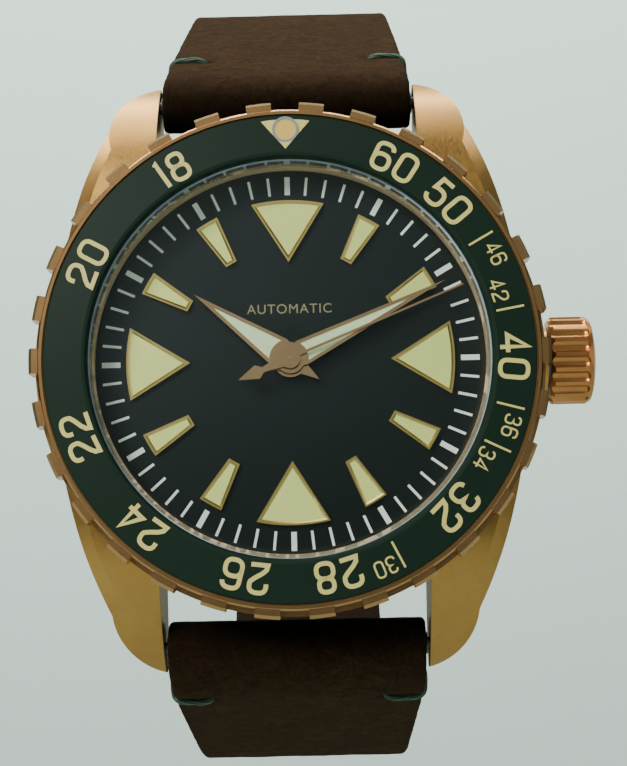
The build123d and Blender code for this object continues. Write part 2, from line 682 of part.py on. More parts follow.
with BuildPart() as escape_wheel:
    with BuildSketch(level(5.25, 0, ESCAPE_AT)):
        with BuildLine():
            saw = []
            for i in range(15):
                saw.append(clock(1.7, 24 * i))
                saw.append(clock(2.2, 24 * i + 4))
                saw.append(clock(2.2, 24 * i + 6))
                saw.append(clock(1.7, 24 * i + 9))
            Polyline(*saw, close=True)
        make_face()
        Circle(1.45, mode=Mode.SUBTRACT)
        Circle(0.5)
        with PolarLocations(0.8, 4):
            Rectangle(1.6, 0.25)
    extrude(amount=0.15)
    wheel(8, 0.1, 4.45, 4.75, ESCAPE_AT, ESCAPE_ANGLE + 180 + 22.5)
    arbor(0.15, 4.3, 6.5, ESCAPE_AT)
escape_wheel.part.label = "escape_wheel"

with BuildPart() as pallet_fork:
    # y points from the fork's pivot to the escape wheel's centre
    with BuildSketch(level(5.2, 45, PALLET_AT)):
        Circle(0.4)
        for hand in (-1, 1):
            with BuildLine():
                Polyline(
                    (0, -0.3),
                    (hand * 1.55, 0.35),
                    (hand * 1.62, 0.95),
                    (hand * 1.42, 0.95),
                    (hand * 1.3, 0.6),
                    (0, 0.3),
                    close=True,
                )
            make_face()
    extrude(amount=0.22)
    # the lever reaches for the balance staff and ends in a fork
    with BuildSketch(level(5.2, 240, PALLET_AT)):
        with Locations((0, 1.5)):
            Rectangle(0.3, 3.0)
        with Locations((0, 3.1)):
            Rectangle(0.8, 0.4)
        with Locations((0, 3.25)):
            Rectangle(0.3, 0.4, mode=Mode.SUBTRACT)
    extrude(amount=0.22)
    arbor(0.15, 4.3, 6.5, PALLET_AT)
pallet_fork.part.label = "pallet_fork"

with BuildPart() as balance_wheel:
    ring(3.3, 2.85, 4.62, 5.0, BALANCE_AT)
    with BuildSketch(level(4.65, 240, BALANCE_AT)):
        Rectangle(0.5, 5.9)
        Circle(0.5)
    extrude(amount=0.2)
    disc(0.3, 4.25, 4.65, BALANCE_AT)
    disc(0.7, 4.85, 5.1, BALANCE_AT)
    arbor(0.15, 4.3, 6.5, BALANCE_AT)
balance_wheel.part.label = "balance_wheel"

with BuildPart() as hairspring:
    spiral(0.3, 0.32, 5, 0.07, 4.3, 4.5, BALANCE_AT)
hairspring.part.label = "hairspring"

with BuildPart() as minute_wheel:
    wheel(36, 0.1, 7.22, 7.42, MINUTE_WHEEL_AT, MINUTE_WHEEL_ANGLE + 180 + 5)
    wheel(10, 0.096, 7.42, 7.85, MINUTE_WHEEL_AT, MINUTE_WHEEL_ANGLE)
    disc(0.2, 6.95, 7.22, MINUTE_WHEEL_AT)
minute_wheel.part.label = "minute_wheel"

with BuildPart() as hour_wheel:
    wheel(40, 0.096, 7.6, 7.78, turn=MINUTE_WHEEL_ANGLE + 4.5)
    disc(0.95, 7.78, 9.8)
    disc(0.67, 7.6, 9.8, mode=Mode.SUBTRACT)
hour_wheel.part.label = "hour_wheel"

with BuildPart() as rotor_axle:
    disc(0.8, 2.2, BRIDGE_BOTTOM)
    disc(1.5, 2.0, 2.3)
    with BuildSketch(level(2.0)):
        Rectangle(0.4, 2.4)
    extrude(amount=0.15, mode=Mode.SUBTRACT)
rotor_axle.part.label = "rotor_axle"

with BuildPart() as winding_rotor:
    # half a disc that hangs towards 6 o'clock, heavy at its rim
    with BuildSketch(level(2.55)):
        Circle(12.2)
        with Locations((0, 7.5)):
            Rectangle(30, 15, mode=Mode.SUBTRACT)
        Circle(2.4)
        with PolarLocations(6.4, 3, start_angle=-150, angular_range=120, endpoint=True):
            SlotOverall(5.0, 2.2, mode=Mode.SUBTRACT)
    extrude(amount=0.45)
    with BuildSketch(level(1.7)):
        Circle(12.2)
        Circle(10.2, mode=Mode.SUBTRACT)
        with Locations((0, 7.5)):
            Rectangle(30, 15, mode=Mode.SUBTRACT)
    extrude(amount=0.85)
    disc(0.8 + RUNNING, 1.5, 3.2, mode=Mode.SUBTRACT)
winding_rotor.part.label = "winding_rotor"

# ================================================================ hands
HOUR_HAND_LEVEL = 9.55
MINUTE_HAND_LEVEL = 10.05
SECONDS_HAND_LEVEL = 10.5
HAND_T = 0.22


def kite(tip, wide_at, half, tail):
    """A hand's outline: pointed at both ends, widest near its hub."""
    return [(0, tip), (half, wide_at), (0, -tail), (-half, wide_at)]


def inlay(height, angle, tip, start_r, half_wide, wide_at, hand_tip):
    """The outline of a hand's luminous inlay, which ends in an arc round the hub."""
    slope = half_wide / (hand_tip - wide_at)
    border = 0.26
    half = slope * (hand_tip - start_r) - border
    corner_y = (start_r**2 - half**2) ** 0.5
    with BuildSketch(level(height, angle)) as outline:
        with BuildLine():
            Line((0, tip), (half, corner_y))
            ThreePointArc((half, corner_y), (0, start_r), (-half, corner_y))
            Line((-half, corner_y), (0, tip))
        make_face()
    return outline.sketch


HOUR_INLAY = (HOUR_ANGLE, 7.7, 1.75, 1.25, 1.15, 9.6)
MINUTE_INLAY = (MINUTE_ANGLE, 11.0, 1.5, 1.07, 1.15, 14.3)


with BuildPart() as hour_hand:
    slab(kite(9.6, 1.15, 1.25, 2.9), HOUR_HAND_LEVEL, HOUR_HAND_LEVEL + HAND_T, HOUR_ANGLE)
    disc(1.45, HOUR_HAND_LEVEL, HOUR_HAND_LEVEL + HAND_T)
    disc(0.95, 9.0, 10.0, mode=Mode.SUBTRACT)
    extrude(inlay(9.0, *HOUR_INLAY), amount=1, mode=Mode.SUBTRACT)
hour_hand.part.label = "hour_hand"

with BuildPart() as hour_hand_lume:
    extrude(inlay(HOUR_HAND_LEVEL + 0.02, *HOUR_INLAY), amount=0.16)
hour_hand_lume.part.label = "hour_hand_lume"

with BuildPart() as minute_hand:
    slab(kite(14.3, 1.15, 1.07, 2.6), MINUTE_HAND_LEVEL, MINUTE_HAND_LEVEL + HAND_T, MINUTE_ANGLE)
    disc(1.2, MINUTE_HAND_LEVEL, MINUTE_HAND_LEVEL + HAND_T)
    disc(0.62, 10.0, 10.5, mode=Mode.SUBTRACT)
    extrude(inlay(9.9, *MINUTE_INLAY), amount=1, mode=Mode.SUBTRACT)
minute_hand.part.label = "minute_hand"

with BuildPart() as minute_hand_lume:
    extrude(inlay(MINUTE_HAND_LEVEL + 0.02, *MINUTE_INLAY), amount=0.16)
minute_hand_lume.part.label = "minute_hand_lume"

with BuildPart() as seconds_hand:
    # needle, hub, and a counterweight that narrows to a neck and ends in an arrowhead
    needle = [(-0.12, 0), (-0.07, 15.4), (0.07, 15.4), (0.12, 0)]
    slab(needle, SECONDS_HAND_LEVEL, SECONDS_HAND_LEVEL + 0.15, SECONDS_ANGLE)
    weight = [(0.56, 0), (0.22, -2.4), (0.6, -2.9), (0, -4.6), (-0.6, -2.9), (-0.22, -2.4), (-0.56, 0)]
    slab(weight, SECONDS_HAND_LEVEL, SECONDS_HAND_LEVEL + 0.15, SECONDS_ANGLE)
    disc(0.85, SECONDS_HAND_LEVEL, SECONDS_HAND_LEVEL + 0.28)
    disc(0.15, 10.4, 10.9, mode=Mode.SUBTRACT)
seconds_hand.part.label = "seconds_hand"

# ================================================================ crown
with BuildPart() as crown_tube:
    rod(1.9, 16.6, 23.4)
    rod(1.15, 16.0, 24.0, mode=Mode.SUBTRACT)
crown_tube.part.label = "crown_tube"

CAP_R = 3.1
CAP_RISE = 0.35
CROWN_PLANE = Plane(origin=(CROWN_START, -STEM_HEIGHT, 0), x_dir=(0, 0, 1), z_dir=(1, 0, 0))
with BuildPart() as crown:
    with BuildSketch(Plane(origin=(0, -STEM_HEIGHT, 0), x_dir=(1, 0, 0), z_dir=(0, 0, -1))):
        with BuildLine():
            Line((CROWN_START, 0), (CROWN_START, 3.3))
            Line((CROWN_START, 3.3), (CROWN_START + 0.3, CROWN_R))
            Line((CROWN_START + 0.3, CROWN_R), (24.5, CROWN_R))
            Line((24.5, CROWN_R), (24.9, 3.45))
            Line((24.9, 3.45), (CROWN_END - CAP_RISE, CAP_R))
            ThreePointArc(
                (CROWN_END - CAP_RISE, CAP_R),
                (CROWN_END - dome_fall(1.6, CAP_R, CAP_RISE), 1.6),
                (CROWN_END, 0),
            )
            Line((CROWN_END, 0), (CROWN_START, 0))
        make_face()
    revolve(axis=Axis((0, -STEM_HEIGHT, 0), (1, 0, 0)))
    # round-ended flutes
    with BuildSketch(CROWN_PLANE) as flutes:
        with PolarLocations(3.92, 18):
            Circle(0.55)
    extrude(flutes.sketch, amount=2.75, mode=Mode.SUBTRACT)
    for place in PolarLocations(3.92, 18).locations:
        with Locations(CROWN_PLANE.offset(2.75) * place):
            Sphere(0.55, mode=Mode.SUBTRACT)
    rod(2.35, CROWN_START, 23.9, mode=Mode.SUBTRACT)
    rod(0.6, 23.8, 24.4, mode=Mode.SUBTRACT)
crown.part.label = "crown"

with BuildPart() as crown_gasket:
    rod(2.35, 22.7, 23.1)
    rod(1.95, 22.6, 23.2, mode=Mode.SUBTRACT)
crown_gasket.part.label = "crown_gasket"

with BuildPart() as winding_stem:
    rod(0.6, 8.3, 24.4)
    rod(0.7, 9.2, 9.7, mode=Mode.SUBTRACT)
    rod(0.35, 9.2, 9.7)
winding_stem.part.label = "winding_stem"

with BuildPart() as setting_lever:
    with BuildSketch(level(6.12)):
        with Locations((9.45, 1.3)):
            Rectangle(0.4, 3.2)
        with Locations((9.2, 2.7)):
            Circle(0.5)
    extrude(amount=0.36)
setting_lever.part.label = "setting_lever"

# ================================================================ strap
BUCKLE_AT = sum(length for start, end, length in TOP_BENDS)
TAIL_LENGTH = sum(length for start, end, length in BOTTOM_BENDS)
TOP_STITCH_AT = 8.6
BOTTOM_STITCH_AT = 5.2
FIXED_KEEPER_AT = BUCKLE_AT - 8.6
FREE_KEEPER_AT = BUCKLE_AT - 14.8
BUCKLE_BAR_R = 0.75

with BuildPart() as strap_top:
    strap_body(1, TOP_BENDS)
    # the fold round the buckle's bar, slotted for the tongue
    end_z, end_height = along(TOP_BENDS, BUCKLE_AT)
    with BuildSketch(side_plane(1)) as fold:
        with Locations((end_z, end_height)):
            Circle(1.9)
    extrude(fold.sketch, amount=BUCKLE_HALF_WIDTH, both=True)
    with BuildSketch(side_plane(1)) as bar_hole:
        with Locations((end_z, end_height)):
            Circle(BUCKLE_BAR_R + RUNNING)
    extrude(bar_hole.sketch, amount=BUCKLE_HALF_WIDTH, both=True, mode=Mode.SUBTRACT)
    with BuildSketch(on_strap(1, TOP_BENDS, BUCKLE_AT)) as slot:
        with Locations((0, -1.0)):
            RectangleRounded(3.2, 8.0, 1.5)
    extrude(slot.sketch, amount=3, both=True, mode=Mode.SUBTRACT)
strap_top.part.label = "strap_top"

with BuildPart() as strap_top_stitches:
    tack_stitches(1, TOP_BENDS, TOP_STITCH_AT, 3.6)
    tack_stitches(1, TOP_BENDS, BUCKLE_AT - 5.5, 3.0)
strap_top_stitches.part.label = "strap_top_stitches"

with BuildPart() as strap_bottom:
    strap_body(-1, BOTTOM_BENDS)
    # rounded tip
    with BuildSketch(on_strap(-1, BOTTOM_BENDS, TAIL_LENGTH)) as tip:
        Rectangle(30, 20)
        with BuildLine():
            Line((-10, -12), (10, -12))
            Line((10, -12), (BUCKLE_HALF_WIDTH, -9))
            ThreePointArc((BUCKLE_HALF_WIDTH, -9), (5.8, -2.2), (0, 0))
            ThreePointArc((0, 0), (-5.8, -2.2), (-BUCKLE_HALF_WIDTH, -9))
            Line((-BUCKLE_HALF_WIDTH, -9), (-10, -12))
        make_face(mode=Mode.SUBTRACT)
    extrude(tip.sketch, amount=4, both=True, mode=Mode.SUBTRACT)
    # adjustment holes
    for i in range(7):
        with BuildSketch(on_strap(-1, BOTTOM_BENDS, TAIL_LENGTH - 24 - 7 * i)) as hole:
            Ellipse(1.1, 1.5)
        extrude(hole.sketch, amount=4, both=True, mode=Mode.SUBTRACT)
strap_bottom.part.label = "strap_bottom"

with BuildPart() as strap_bottom_stitches:
    tack_stitches(-1, BOTTOM_BENDS, BOTTOM_STITCH_AT, 3.8)
strap_bottom_stitches.part.label = "strap_bottom_stitches"

with BuildPart() as fixed_keeper:
    keeper_loop(1, TOP_BENDS, FIXED_KEEPER_AT, 0.1, 5.0, 1.2)
fixed_keeper.part.label = "fixed_keeper"

with BuildPart() as free_keeper:
    keeper_loop(1, TOP_BENDS, FREE_KEEPER_AT, 0.4, 5.0, 1.2)
free_keeper.part.label = "free_keeper"


def spring_bar(half, shoulder_r, tip_r, tip_end, height, z):
    """A sprung bar: a tube with a thinner tip at each end."""
    rod(shoulder_r, -half, half, height, z)
    for hand in (-1, 1):
        rod(tip_r, min(hand * half, hand * tip_end), max(hand * half, hand * tip_end), height, z)


with BuildPart() as spring_bar_top:
    spring_bar(10.8, BAR_R, 0.55, 12.6, BAR_HEIGHT, BAR_Z)
spring_bar_top.part.label = "spring_bar_top"

with BuildPart() as spring_bar_bottom:
    spring_bar(10.8, BAR_R, 0.55, 12.6, BAR_HEIGHT, -BAR_Z)
spring_bar_bottom.part.label = "spring_bar_bottom"

# ================================================================ buckle
ARM_INNER = BUCKLE_HALF_WIDTH + 0.35
ARM_OUTER = ARM_INNER + 2.0
with BuildPart() as buckle_frame:
    with BuildSketch(on_strap(1, TOP_BENDS, BUCKLE_AT, -1.1)):
        with Locations((0, 5.1)):
            RectangleRounded(2 * ARM_OUTER, 15.0, 2.6)
        with Locations((0, 3.2)):
            Rectangle(2 * ARM_INNER, 12.8, mode=Mode.SUBTRACT)
        with Locations((0, -2.0)):
            Rectangle(2 * ARM_INNER, 3.0, mode=Mode.SUBTRACT)
    extrude(amount=2.2)
    for hand in (-1, 1):
        ends = sorted((hand * (ARM_INNER - 0.1), hand * (ARM_OUTER - 0.6)))
        rod(0.5, ends[0], ends[1], end_height, end_z, mode=Mode.SUBTRACT)
buckle_frame.part.label = "buckle_frame"

with BuildPart() as buckle_bar:
    spring_bar(ARM_INNER - 0.1, BUCKLE_BAR_R, 0.45, ARM_OUTER - 0.7, end_height, end_z)
buckle_bar.part.label = "buckle_bar"

with BuildPart() as buckle_tongue:
    tongue_plane = Plane(
        origin=(0, -end_height, end_z),
        x_dir=(0, 1, 0),
        z_dir=(1, 0, 0),
    )
    with BuildSketch(tongue_plane):
        Circle(1.75)
        with BuildLine():
            Polyline(
                (0, 1.2),
                (0.4, 1.75),
                (3.0, 2.3),
                (11.9, 2.25),
                (12.4, 1.7),
                (11.9, 1.18),
                (3.0, 1.18),
                (1.3, 0.6),
                close=True,
            )
        make_face()
        Circle(BUCKLE_BAR_R + RUNNING, mode=Mode.SUBTRACT)
    extrude(amount=1.2, both=True)
buckle_tongue.part.label = "buckle_tongue"

PIECES = (
    mid_case, case_back, case_back_gasket, rehaut_ring, crystal, crystal_gasket,
    bezel_retaining_ring, bezel_click_spring, bezel_ring, bezel_insert, bezel_pip_cup,
    bezel_pip_lume, dial_plate, hour_marker_frames, hour_marker_lume, movement_holder,
    main_plate, train_bridge, balance_cock, movement_screws, jewel_bearings, barrel_arbor,
    mainspring_barrel, mainspring, centre_wheel, cannon_pinion, third_wheel, seconds_wheel,
    escape_wheel, pallet_fork, balance_wheel, hairspring, minute_wheel, hour_wheel, rotor_axle,
    winding_rotor, hour_hand, hour_hand_lume, minute_hand, minute_hand_lume, seconds_hand,
    crown_tube, crown, crown_gasket, winding_stem, setting_lever, strap_top,
    strap_top_stitches, strap_bottom, strap_bottom_stitches, fixed_keeper, free_keeper,
    spring_bar_top, spring_bar_bottom, buckle_frame, buckle_bar, buckle_tongue,
)
for piece in PIECES:
    export_step(piece.part, "parts/" + piece.part.label + ".step")
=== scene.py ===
"""Looks for the bronze dive watch: materials, printed dial and bezel, suede strap and thread.

Lengths in this script are in millimetres and are turned into metres when a mesh is made.
+X is 3 o'clock, +Z is 12 o'clock, and a point at height h above the case back has Y = -h.
"""
import bmesh
import bpy
from math import copysign, cos, exp, pi, radians, sin, sqrt
from mathutils import Matrix, Vector, noise


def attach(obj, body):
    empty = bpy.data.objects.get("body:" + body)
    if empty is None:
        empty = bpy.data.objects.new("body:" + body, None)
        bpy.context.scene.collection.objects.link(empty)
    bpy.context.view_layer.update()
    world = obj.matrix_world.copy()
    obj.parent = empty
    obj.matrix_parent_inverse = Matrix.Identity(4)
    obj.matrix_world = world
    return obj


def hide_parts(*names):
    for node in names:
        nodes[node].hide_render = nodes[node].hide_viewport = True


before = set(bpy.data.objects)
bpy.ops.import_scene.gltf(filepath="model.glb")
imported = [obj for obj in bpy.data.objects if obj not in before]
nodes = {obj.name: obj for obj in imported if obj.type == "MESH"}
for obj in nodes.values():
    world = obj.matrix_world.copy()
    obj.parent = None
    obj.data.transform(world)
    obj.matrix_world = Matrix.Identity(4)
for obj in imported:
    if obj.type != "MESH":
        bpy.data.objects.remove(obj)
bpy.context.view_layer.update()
MM = 0.001


# ================================================================ small helpers
def make_mesh(name, points, faces, material, body, slot_name, smooth=True):
    """A closed mesh piece with outward normals that rides on a body."""
    mesh = bpy.data.meshes.new(name)
    mesh.from_pydata([tuple(p) for p in points], [], faces)
    work = bmesh.new()
    work.from_mesh(mesh)
    bmesh.ops.remove_doubles(work, verts=work.verts, dist=1e-7)
    bmesh.ops.recalc_face_normals(work, faces=work.faces)
    work.to_mesh(mesh)
    work.free()
    for face in mesh.polygons:
        face.use_smooth = smooth
    piece = bpy.data.objects.new(name, mesh)
    bpy.context.scene.collection.objects.link(piece)
    mesh.materials.append(material)
    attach(piece, body)
    return piece


def skin(rings, closed=False):
    """Points and faces of a skin through rings of equal length, capped or joined end to end."""
    points = [p for ring in rings for p in ring]
    count = len(rings[0])
    faces = []
    steps = len(rings) if closed else len(rings) - 1
    for i in range(steps):
        a = i * count
        b = ((i + 1) % len(rings)) * count
        for j in range(count):
            k = (j + 1) % count
            faces.append((a + j, a + k, b + k, b + j))
    if not closed:
        faces.append(tuple(range(count))[::-1])
        faces.append(tuple(range(len(points) - count, len(points))))
    return points, faces


# ================================================================ material helpers
def material(name, colour, **inputs):
    """A material whose Principled shader has this colour and these plain inputs."""
    made = bpy.data.materials.new(name)
    made.use_nodes = True
    shader = made.node_tree.nodes["Principled BSDF"]
    shader.inputs["Base Color"].default_value = (*colour, 1)
    for key, value in inputs.items():
        shader.inputs[key.replace("_", " ")].default_value = value
    return made


def add(mat, kind, inputs=None, **settings):
    """A node in a material. Inputs are values or other nodes' outputs."""
    made = mat.node_tree.nodes.new(kind)
    for key, value in settings.items():
        setattr(made, key, value)
    for key, value in (inputs or {}).items():
        if isinstance(value, bpy.types.NodeSocket):
            mat.node_tree.links.new(value, made.inputs[key])
        else:
            made.inputs[key].default_value = value
    return made


def to_shader(mat, key, output):
    """Links a node's output to the Principled shader."""
    shader = mat.node_tree.nodes["Principled BSDF"]
    mat.node_tree.links.new(output, shader.inputs[key])


def place(mat, scale=(1, 1, 1), turn=(0, 0, 0)):
    """Object coordinates in mm, stretched and turned."""
    where = add(mat, "ShaderNodeTexCoord").outputs["Object"]
    mm = [1000 * s for s in scale]
    made = add(mat, "ShaderNodeMapping", {"Vector": where, "Scale": mm, "Rotation": turn})
    return made.outputs["Vector"]


def cloud(mat, where, scale, detail=3.0, rough=0.55, distortion=0.0):
    """Noise from 0 to 1."""
    inputs = {"Vector": where, "Scale": scale, "Detail": detail, "Roughness": rough,
              "Distortion": distortion}
    return add(mat, "ShaderNodeTexNoise", inputs).outputs["Fac"]


def spread(mat, value, low, high, out_low=0.0, out_high=1.0):
    """Maps low..high to out_low..out_high, held at both ends."""
    inputs = {"Value": value, "From Min": low, "From Max": high, "To Min": out_low, "To Max": out_high}
    return add(mat, "ShaderNodeMapRange", inputs).outputs["Result"]


def blend_colours(mat, share, first, second, mode="MIX"):
    """Two colours mixed by a share."""
    made = add(mat, "ShaderNodeMix", data_type="RGBA", blend_type=mode)
    for socket, value in ((made.inputs[0], share), (made.inputs[6], first), (made.inputs[7], second)):
        if isinstance(value, bpy.types.NodeSocket):
            mat.node_tree.links.new(value, socket)
        elif isinstance(value, tuple):
            socket.default_value = (*value, 1)
        else:
            socket.default_value = value
    return made.outputs[2]


def maths(mat, operation, a, b=0.0):
    """One sum on two values."""
    return add(mat, "ShaderNodeMath", {0: a, 1: b}, operation=operation).outputs[0]


def bumps(mat, *layers):
    """Stacks bump layers of (height output, depth in mm) and links them to the shader."""
    normal = None
    for height, depth in layers:
        inputs = {"Height": height, "Distance": depth * MM, "Strength": 1.0}
        if normal is not None:
            inputs["Normal"] = normal
        normal = add(mat, "ShaderNodeBump", inputs).outputs["Normal"]
    to_shader(mat, "Normal", normal)


def dress(mat, *names):
    """Gives CAD nodes a material."""
    for name in names:
        slots = nodes[name].data.materials
        slots.clear()
        slots.append(mat)


# ================================================================ metals
def metal(name, bright, dull, roughness, brush=None, wear=0.35):
    """A metal with slow tarnish, a fine uneven gloss and, if given, brushing along a direction."""
    mat = material(name, bright, Metallic=1.0, Roughness=roughness)
    plain = place(mat)
    tarnish = cloud(mat, plain, 0.16, 4.0, 0.6)
    specks = cloud(mat, plain, 2.2, 3.0, 0.6)
    tone = spread(mat, tarnish, 0.35, 0.7)
    tone = maths(mat, "ADD", maths(mat, "MULTIPLY", tone, 1 - wear), maths(mat, "MULTIPLY", specks, wear))
    to_shader(mat, "Base Color", blend_colours(mat, tone, bright, dull))
    along = place(mat, brush or (1, 1, 1))
    grain = cloud(mat, along, 3.0 if brush else 5.0, 4.0 if brush else 2.0, 0.7)
    vary = 0.07 if brush else 0.02
    rough = spread(mat, grain, 0.3, 0.7, roughness - vary, roughness + vary)
    to_shader(mat, "Roughness", rough)
    bumps(mat, (grain, 0.006 if brush else 0.0002))
    return mat


CASE_BRIGHT = (0.47, 0.265, 0.074)
CASE_DULL = (0.34, 0.182, 0.052)
case_bronze = metal("case_bronze", CASE_BRIGHT, CASE_DULL, 0.34, (2.4, 2.4, 0.22))
bezel_bronze = metal("bezel_bronze", (0.46, 0.255, 0.108), (0.38, 0.205, 0.084), 0.24, wear=0.1)
crown_bronze = metal("crown_bronze", (0.58, 0.26, 0.085), (0.40, 0.17, 0.055), 0.3)
buckle_bronze = metal("buckle_bronze", CASE_BRIGHT, CASE_DULL, 0.3, (0.25, 2.2, 2.2))
rose_bronze = metal("rose_bronze", (0.74, 0.44, 0.24), (0.62, 0.35, 0.18), 0.16, wear=0.2)
rehaut_gold = metal("rehaut_gold", (0.95, 0.72, 0.46), (0.88, 0.64, 0.38), 0.5, wear=0.2)
gilt = metal("gilt", (0.90, 0.64, 0.22), (0.82, 0.54, 0.17), 0.2, wear=0.1)
steel = metal("steel", (0.56, 0.56, 0.55), (0.43, 0.43, 0.43), 0.32, (2.0, 0.3, 2.0))
# the spring bars' steel is painted near black, standing in for the shade in the gaps between the lugs
painted_shade_steel = metal("painted_shade_steel", (0.10, 0.10, 0.10), (0.06, 0.06, 0.06), 0.4)
bright_steel = metal("bright_steel", (0.72, 0.72, 0.70), (0.60, 0.60, 0.60), 0.14, wear=0.1)
brass = metal("brass", (0.66, 0.47, 0.20), (0.52, 0.36, 0.15), 0.28)

# painted shade: the faces between the lugs are darkened near black, standing in for the shadow in the gaps
# beside the strap
between = add(case_bronze, "ShaderNodeSeparateXYZ", {0: place(case_bronze)})
gap_shade = spread(case_bronze, maths(case_bronze, "ABSOLUTE", between.outputs["X"]), 10.96, 11.08, 1.0, 0.0)
gap_shade = maths(case_bronze, "MULTIPLY", gap_shade,
               spread(case_bronze, maths(case_bronze, "ABSOLUTE", between.outputs["Z"]), 14.5, 15.5))
polish = case_bronze.node_tree.nodes["Principled BSDF"].inputs["Base Color"].links[0].from_socket
to_shader(case_bronze, "Base Color", blend_colours(case_bronze, gap_shade, polish, (0.020, 0.011, 0.005)))
# the rehaut is gilt paint, half way to a metal
rehaut_gold.node_tree.nodes["Principled BSDF"].inputs["Metallic"].default_value = 0.5

dress(case_bronze, "mid_case")
dress(bezel_bronze, "bezel_ring")
dress(crown_bronze, "crown")
dress(buckle_bronze, "buckle_frame", "buckle_tongue")
dress(rehaut_gold, "rehaut_ring")
dress(rose_bronze, "hour_hand", "minute_hand", "seconds_hand")
dress(gilt, "hour_marker_frames")
dress(steel, "case_back", "bezel_retaining_ring", "bezel_click_spring", "train_bridge", "balance_cock",
      "barrel_arbor", "mainspring", "cannon_pinion", "escape_wheel", "pallet_fork", "hairspring",
      "rotor_axle", "winding_rotor", "crown_tube", "winding_stem", "setting_lever",
      "buckle_bar")
dress(painted_shade_steel, "spring_bar_top", "spring_bar_bottom")
dress(bright_steel, "bezel_pip_cup", "movement_screws")
dress(brass, "main_plate", "mainspring_barrel", "centre_wheel", "third_wheel", "seconds_wheel",
      "balance_wheel", "minute_wheel", "hour_wheel")


# ================================================================ ceramic, dial, paint and glass
def paint(name, colour, shade, roughness, grain_scale=6.0, depth=0.006, **inputs):
    """Paint or lume: two close tones of a fine grain, slightly uneven."""
    mat = material(name, colour, Roughness=roughness, **inputs)
    where = place(mat)
    tone = cloud(mat, where, grain_scale, 3.0, 0.6)
    slow = cloud(mat, where, 0.35, 2.0, 0.5)
    share = maths(mat, "MULTIPLY", spread(mat, tone, 0.25, 0.75), spread(mat, slow, 0.2, 0.8, 0.4, 1.0))
    to_shader(mat, "Base Color", blend_colours(mat, share, colour, shade))
    bumps(mat, (tone, depth))
    return mat


insert_green = paint("insert_green", (0.0066, 0.0190, 0.0112), (0.0046, 0.0132, 0.0078), 0.5, 9.0, 0.004,
                     Specular_IOR_Level=0.10, Coat_Weight=0.06, Coat_Roughness=0.2)
numeral_cream = paint("numeral_cream", (0.60, 0.52, 0.16), (0.50, 0.43, 0.12), 0.6)
pip_cream = paint("pip_cream", (0.66, 0.42, 0.09), (0.58, 0.36, 0.075), 0.55)
lume_cream = paint("lume_cream", (0.80, 0.84, 0.25), (0.73, 0.77, 0.22), 0.6, 5.0, 0.01)
lume_mint = paint("lume_mint", (0.76, 0.90, 0.55), (0.68, 0.83, 0.49), 0.6, 5.0, 0.01)
tick_white = paint("tick_white", (0.92, 0.97, 0.94), (0.86, 0.91, 0.88), 0.55)
dial_print = paint("dial_print", (0.34, 0.29, 0.14), (0.27, 0.23, 0.11), 0.5)
rubber = paint("rubber", (0.02, 0.02, 0.02), (0.012, 0.012, 0.012), 0.7)
nylon = paint("nylon", (0.55, 0.55, 0.5), (0.48, 0.48, 0.44), 0.5)
ruby = paint("ruby", (0.4, 0.02, 0.06), (0.3, 0.01, 0.04), 0.15)

dress(insert_green, "bezel_insert")
dress(pip_cream, "bezel_pip_lume")
dress(lume_cream, "hour_marker_lume")
dress(lume_mint, "hour_hand_lume", "minute_hand_lume")
dress(rubber, "case_back_gasket", "crown_gasket")
dress(nylon, "crystal_gasket", "movement_holder")
dress(ruby, "jewel_bearings")

# the dial: dark green lacquer over a very fine sunburst
dial_mat = material("dial_green", (0.004, 0.0085, 0.0078), Roughness=0.3, Specular_IOR_Level=0.3,
                    Coat_Weight=0.12, Coat_Roughness=0.08)
axes = add(dial_mat, "ShaderNodeSeparateXYZ", {0: place(dial_mat)})
turn = maths(dial_mat, "ARCTAN2", axes.outputs["X"], axes.outputs["Z"])
ray = add(dial_mat, "ShaderNodeTexNoise", {"W": maths(dial_mat, "MULTIPLY", turn, 60.0), "Scale": 1.0,
                                           "Detail": 3.0}, noise_dimensions="1D").outputs["Fac"]
to_shader(dial_mat, "Base Color", blend_colours(dial_mat, spread(dial_mat, ray, 0.3, 0.7),
                                                (0.0042, 0.0090, 0.0082), (0.0036, 0.0078, 0.0071)))
to_shader(dial_mat, "Roughness", spread(dial_mat, ray, 0.3, 0.7, 0.29, 0.33))
dress(dial_mat, "dial_plate")

# crystal: clear, with Fresnel gloss and a pale ground rim
glass = bpy.data.materials.new("crystal_clear")
glass.use_nodes = True
tree = glass.node_tree
tree.nodes.remove(tree.nodes["Principled BSDF"])
clear = add(glass, "ShaderNodeBsdfTransparent", {"Color": (0.97, 0.99, 0.985, 1)})
gloss = add(glass, "ShaderNodeBsdfGlossy", {"Color": (0.9, 0.96, 1, 1), "Roughness": 0.03})
edge = add(glass, "ShaderNodeFresnel", {"IOR": 1.38}).outputs["Fac"]
shine = maths(glass, "MULTIPLY", edge, 0.45)
both = add(glass, "ShaderNodeMixShader", {0: shine, 1: clear.outputs[0], 2: gloss.outputs[0]})
ground = add(glass, "ShaderNodeBsdfDiffuse", {"Color": (0.60, 0.74, 0.85, 1)})
flat = add(glass, "ShaderNodeSeparateXYZ", {0: place(glass)})
squares = [maths(glass, "MULTIPLY", flat.outputs[axis], flat.outputs[axis]) for axis in "XZ"]
across = maths(glass, "SQRT", maths(glass, "ADD", *squares))
rim = spread(glass, across, 16.17, 16.25, 0.0, 0.8)
tinted = add(glass, "ShaderNodeMixShader", {0: rim, 1: both.outputs[0], 2: ground.outputs[0]})
tree.links.new(tinted.outputs[0], tree.nodes["Material Output"].inputs["Surface"])
dress(glass, "crystal")


# ================================================================ printed minute track and word
DIAL_TOP = 8.8


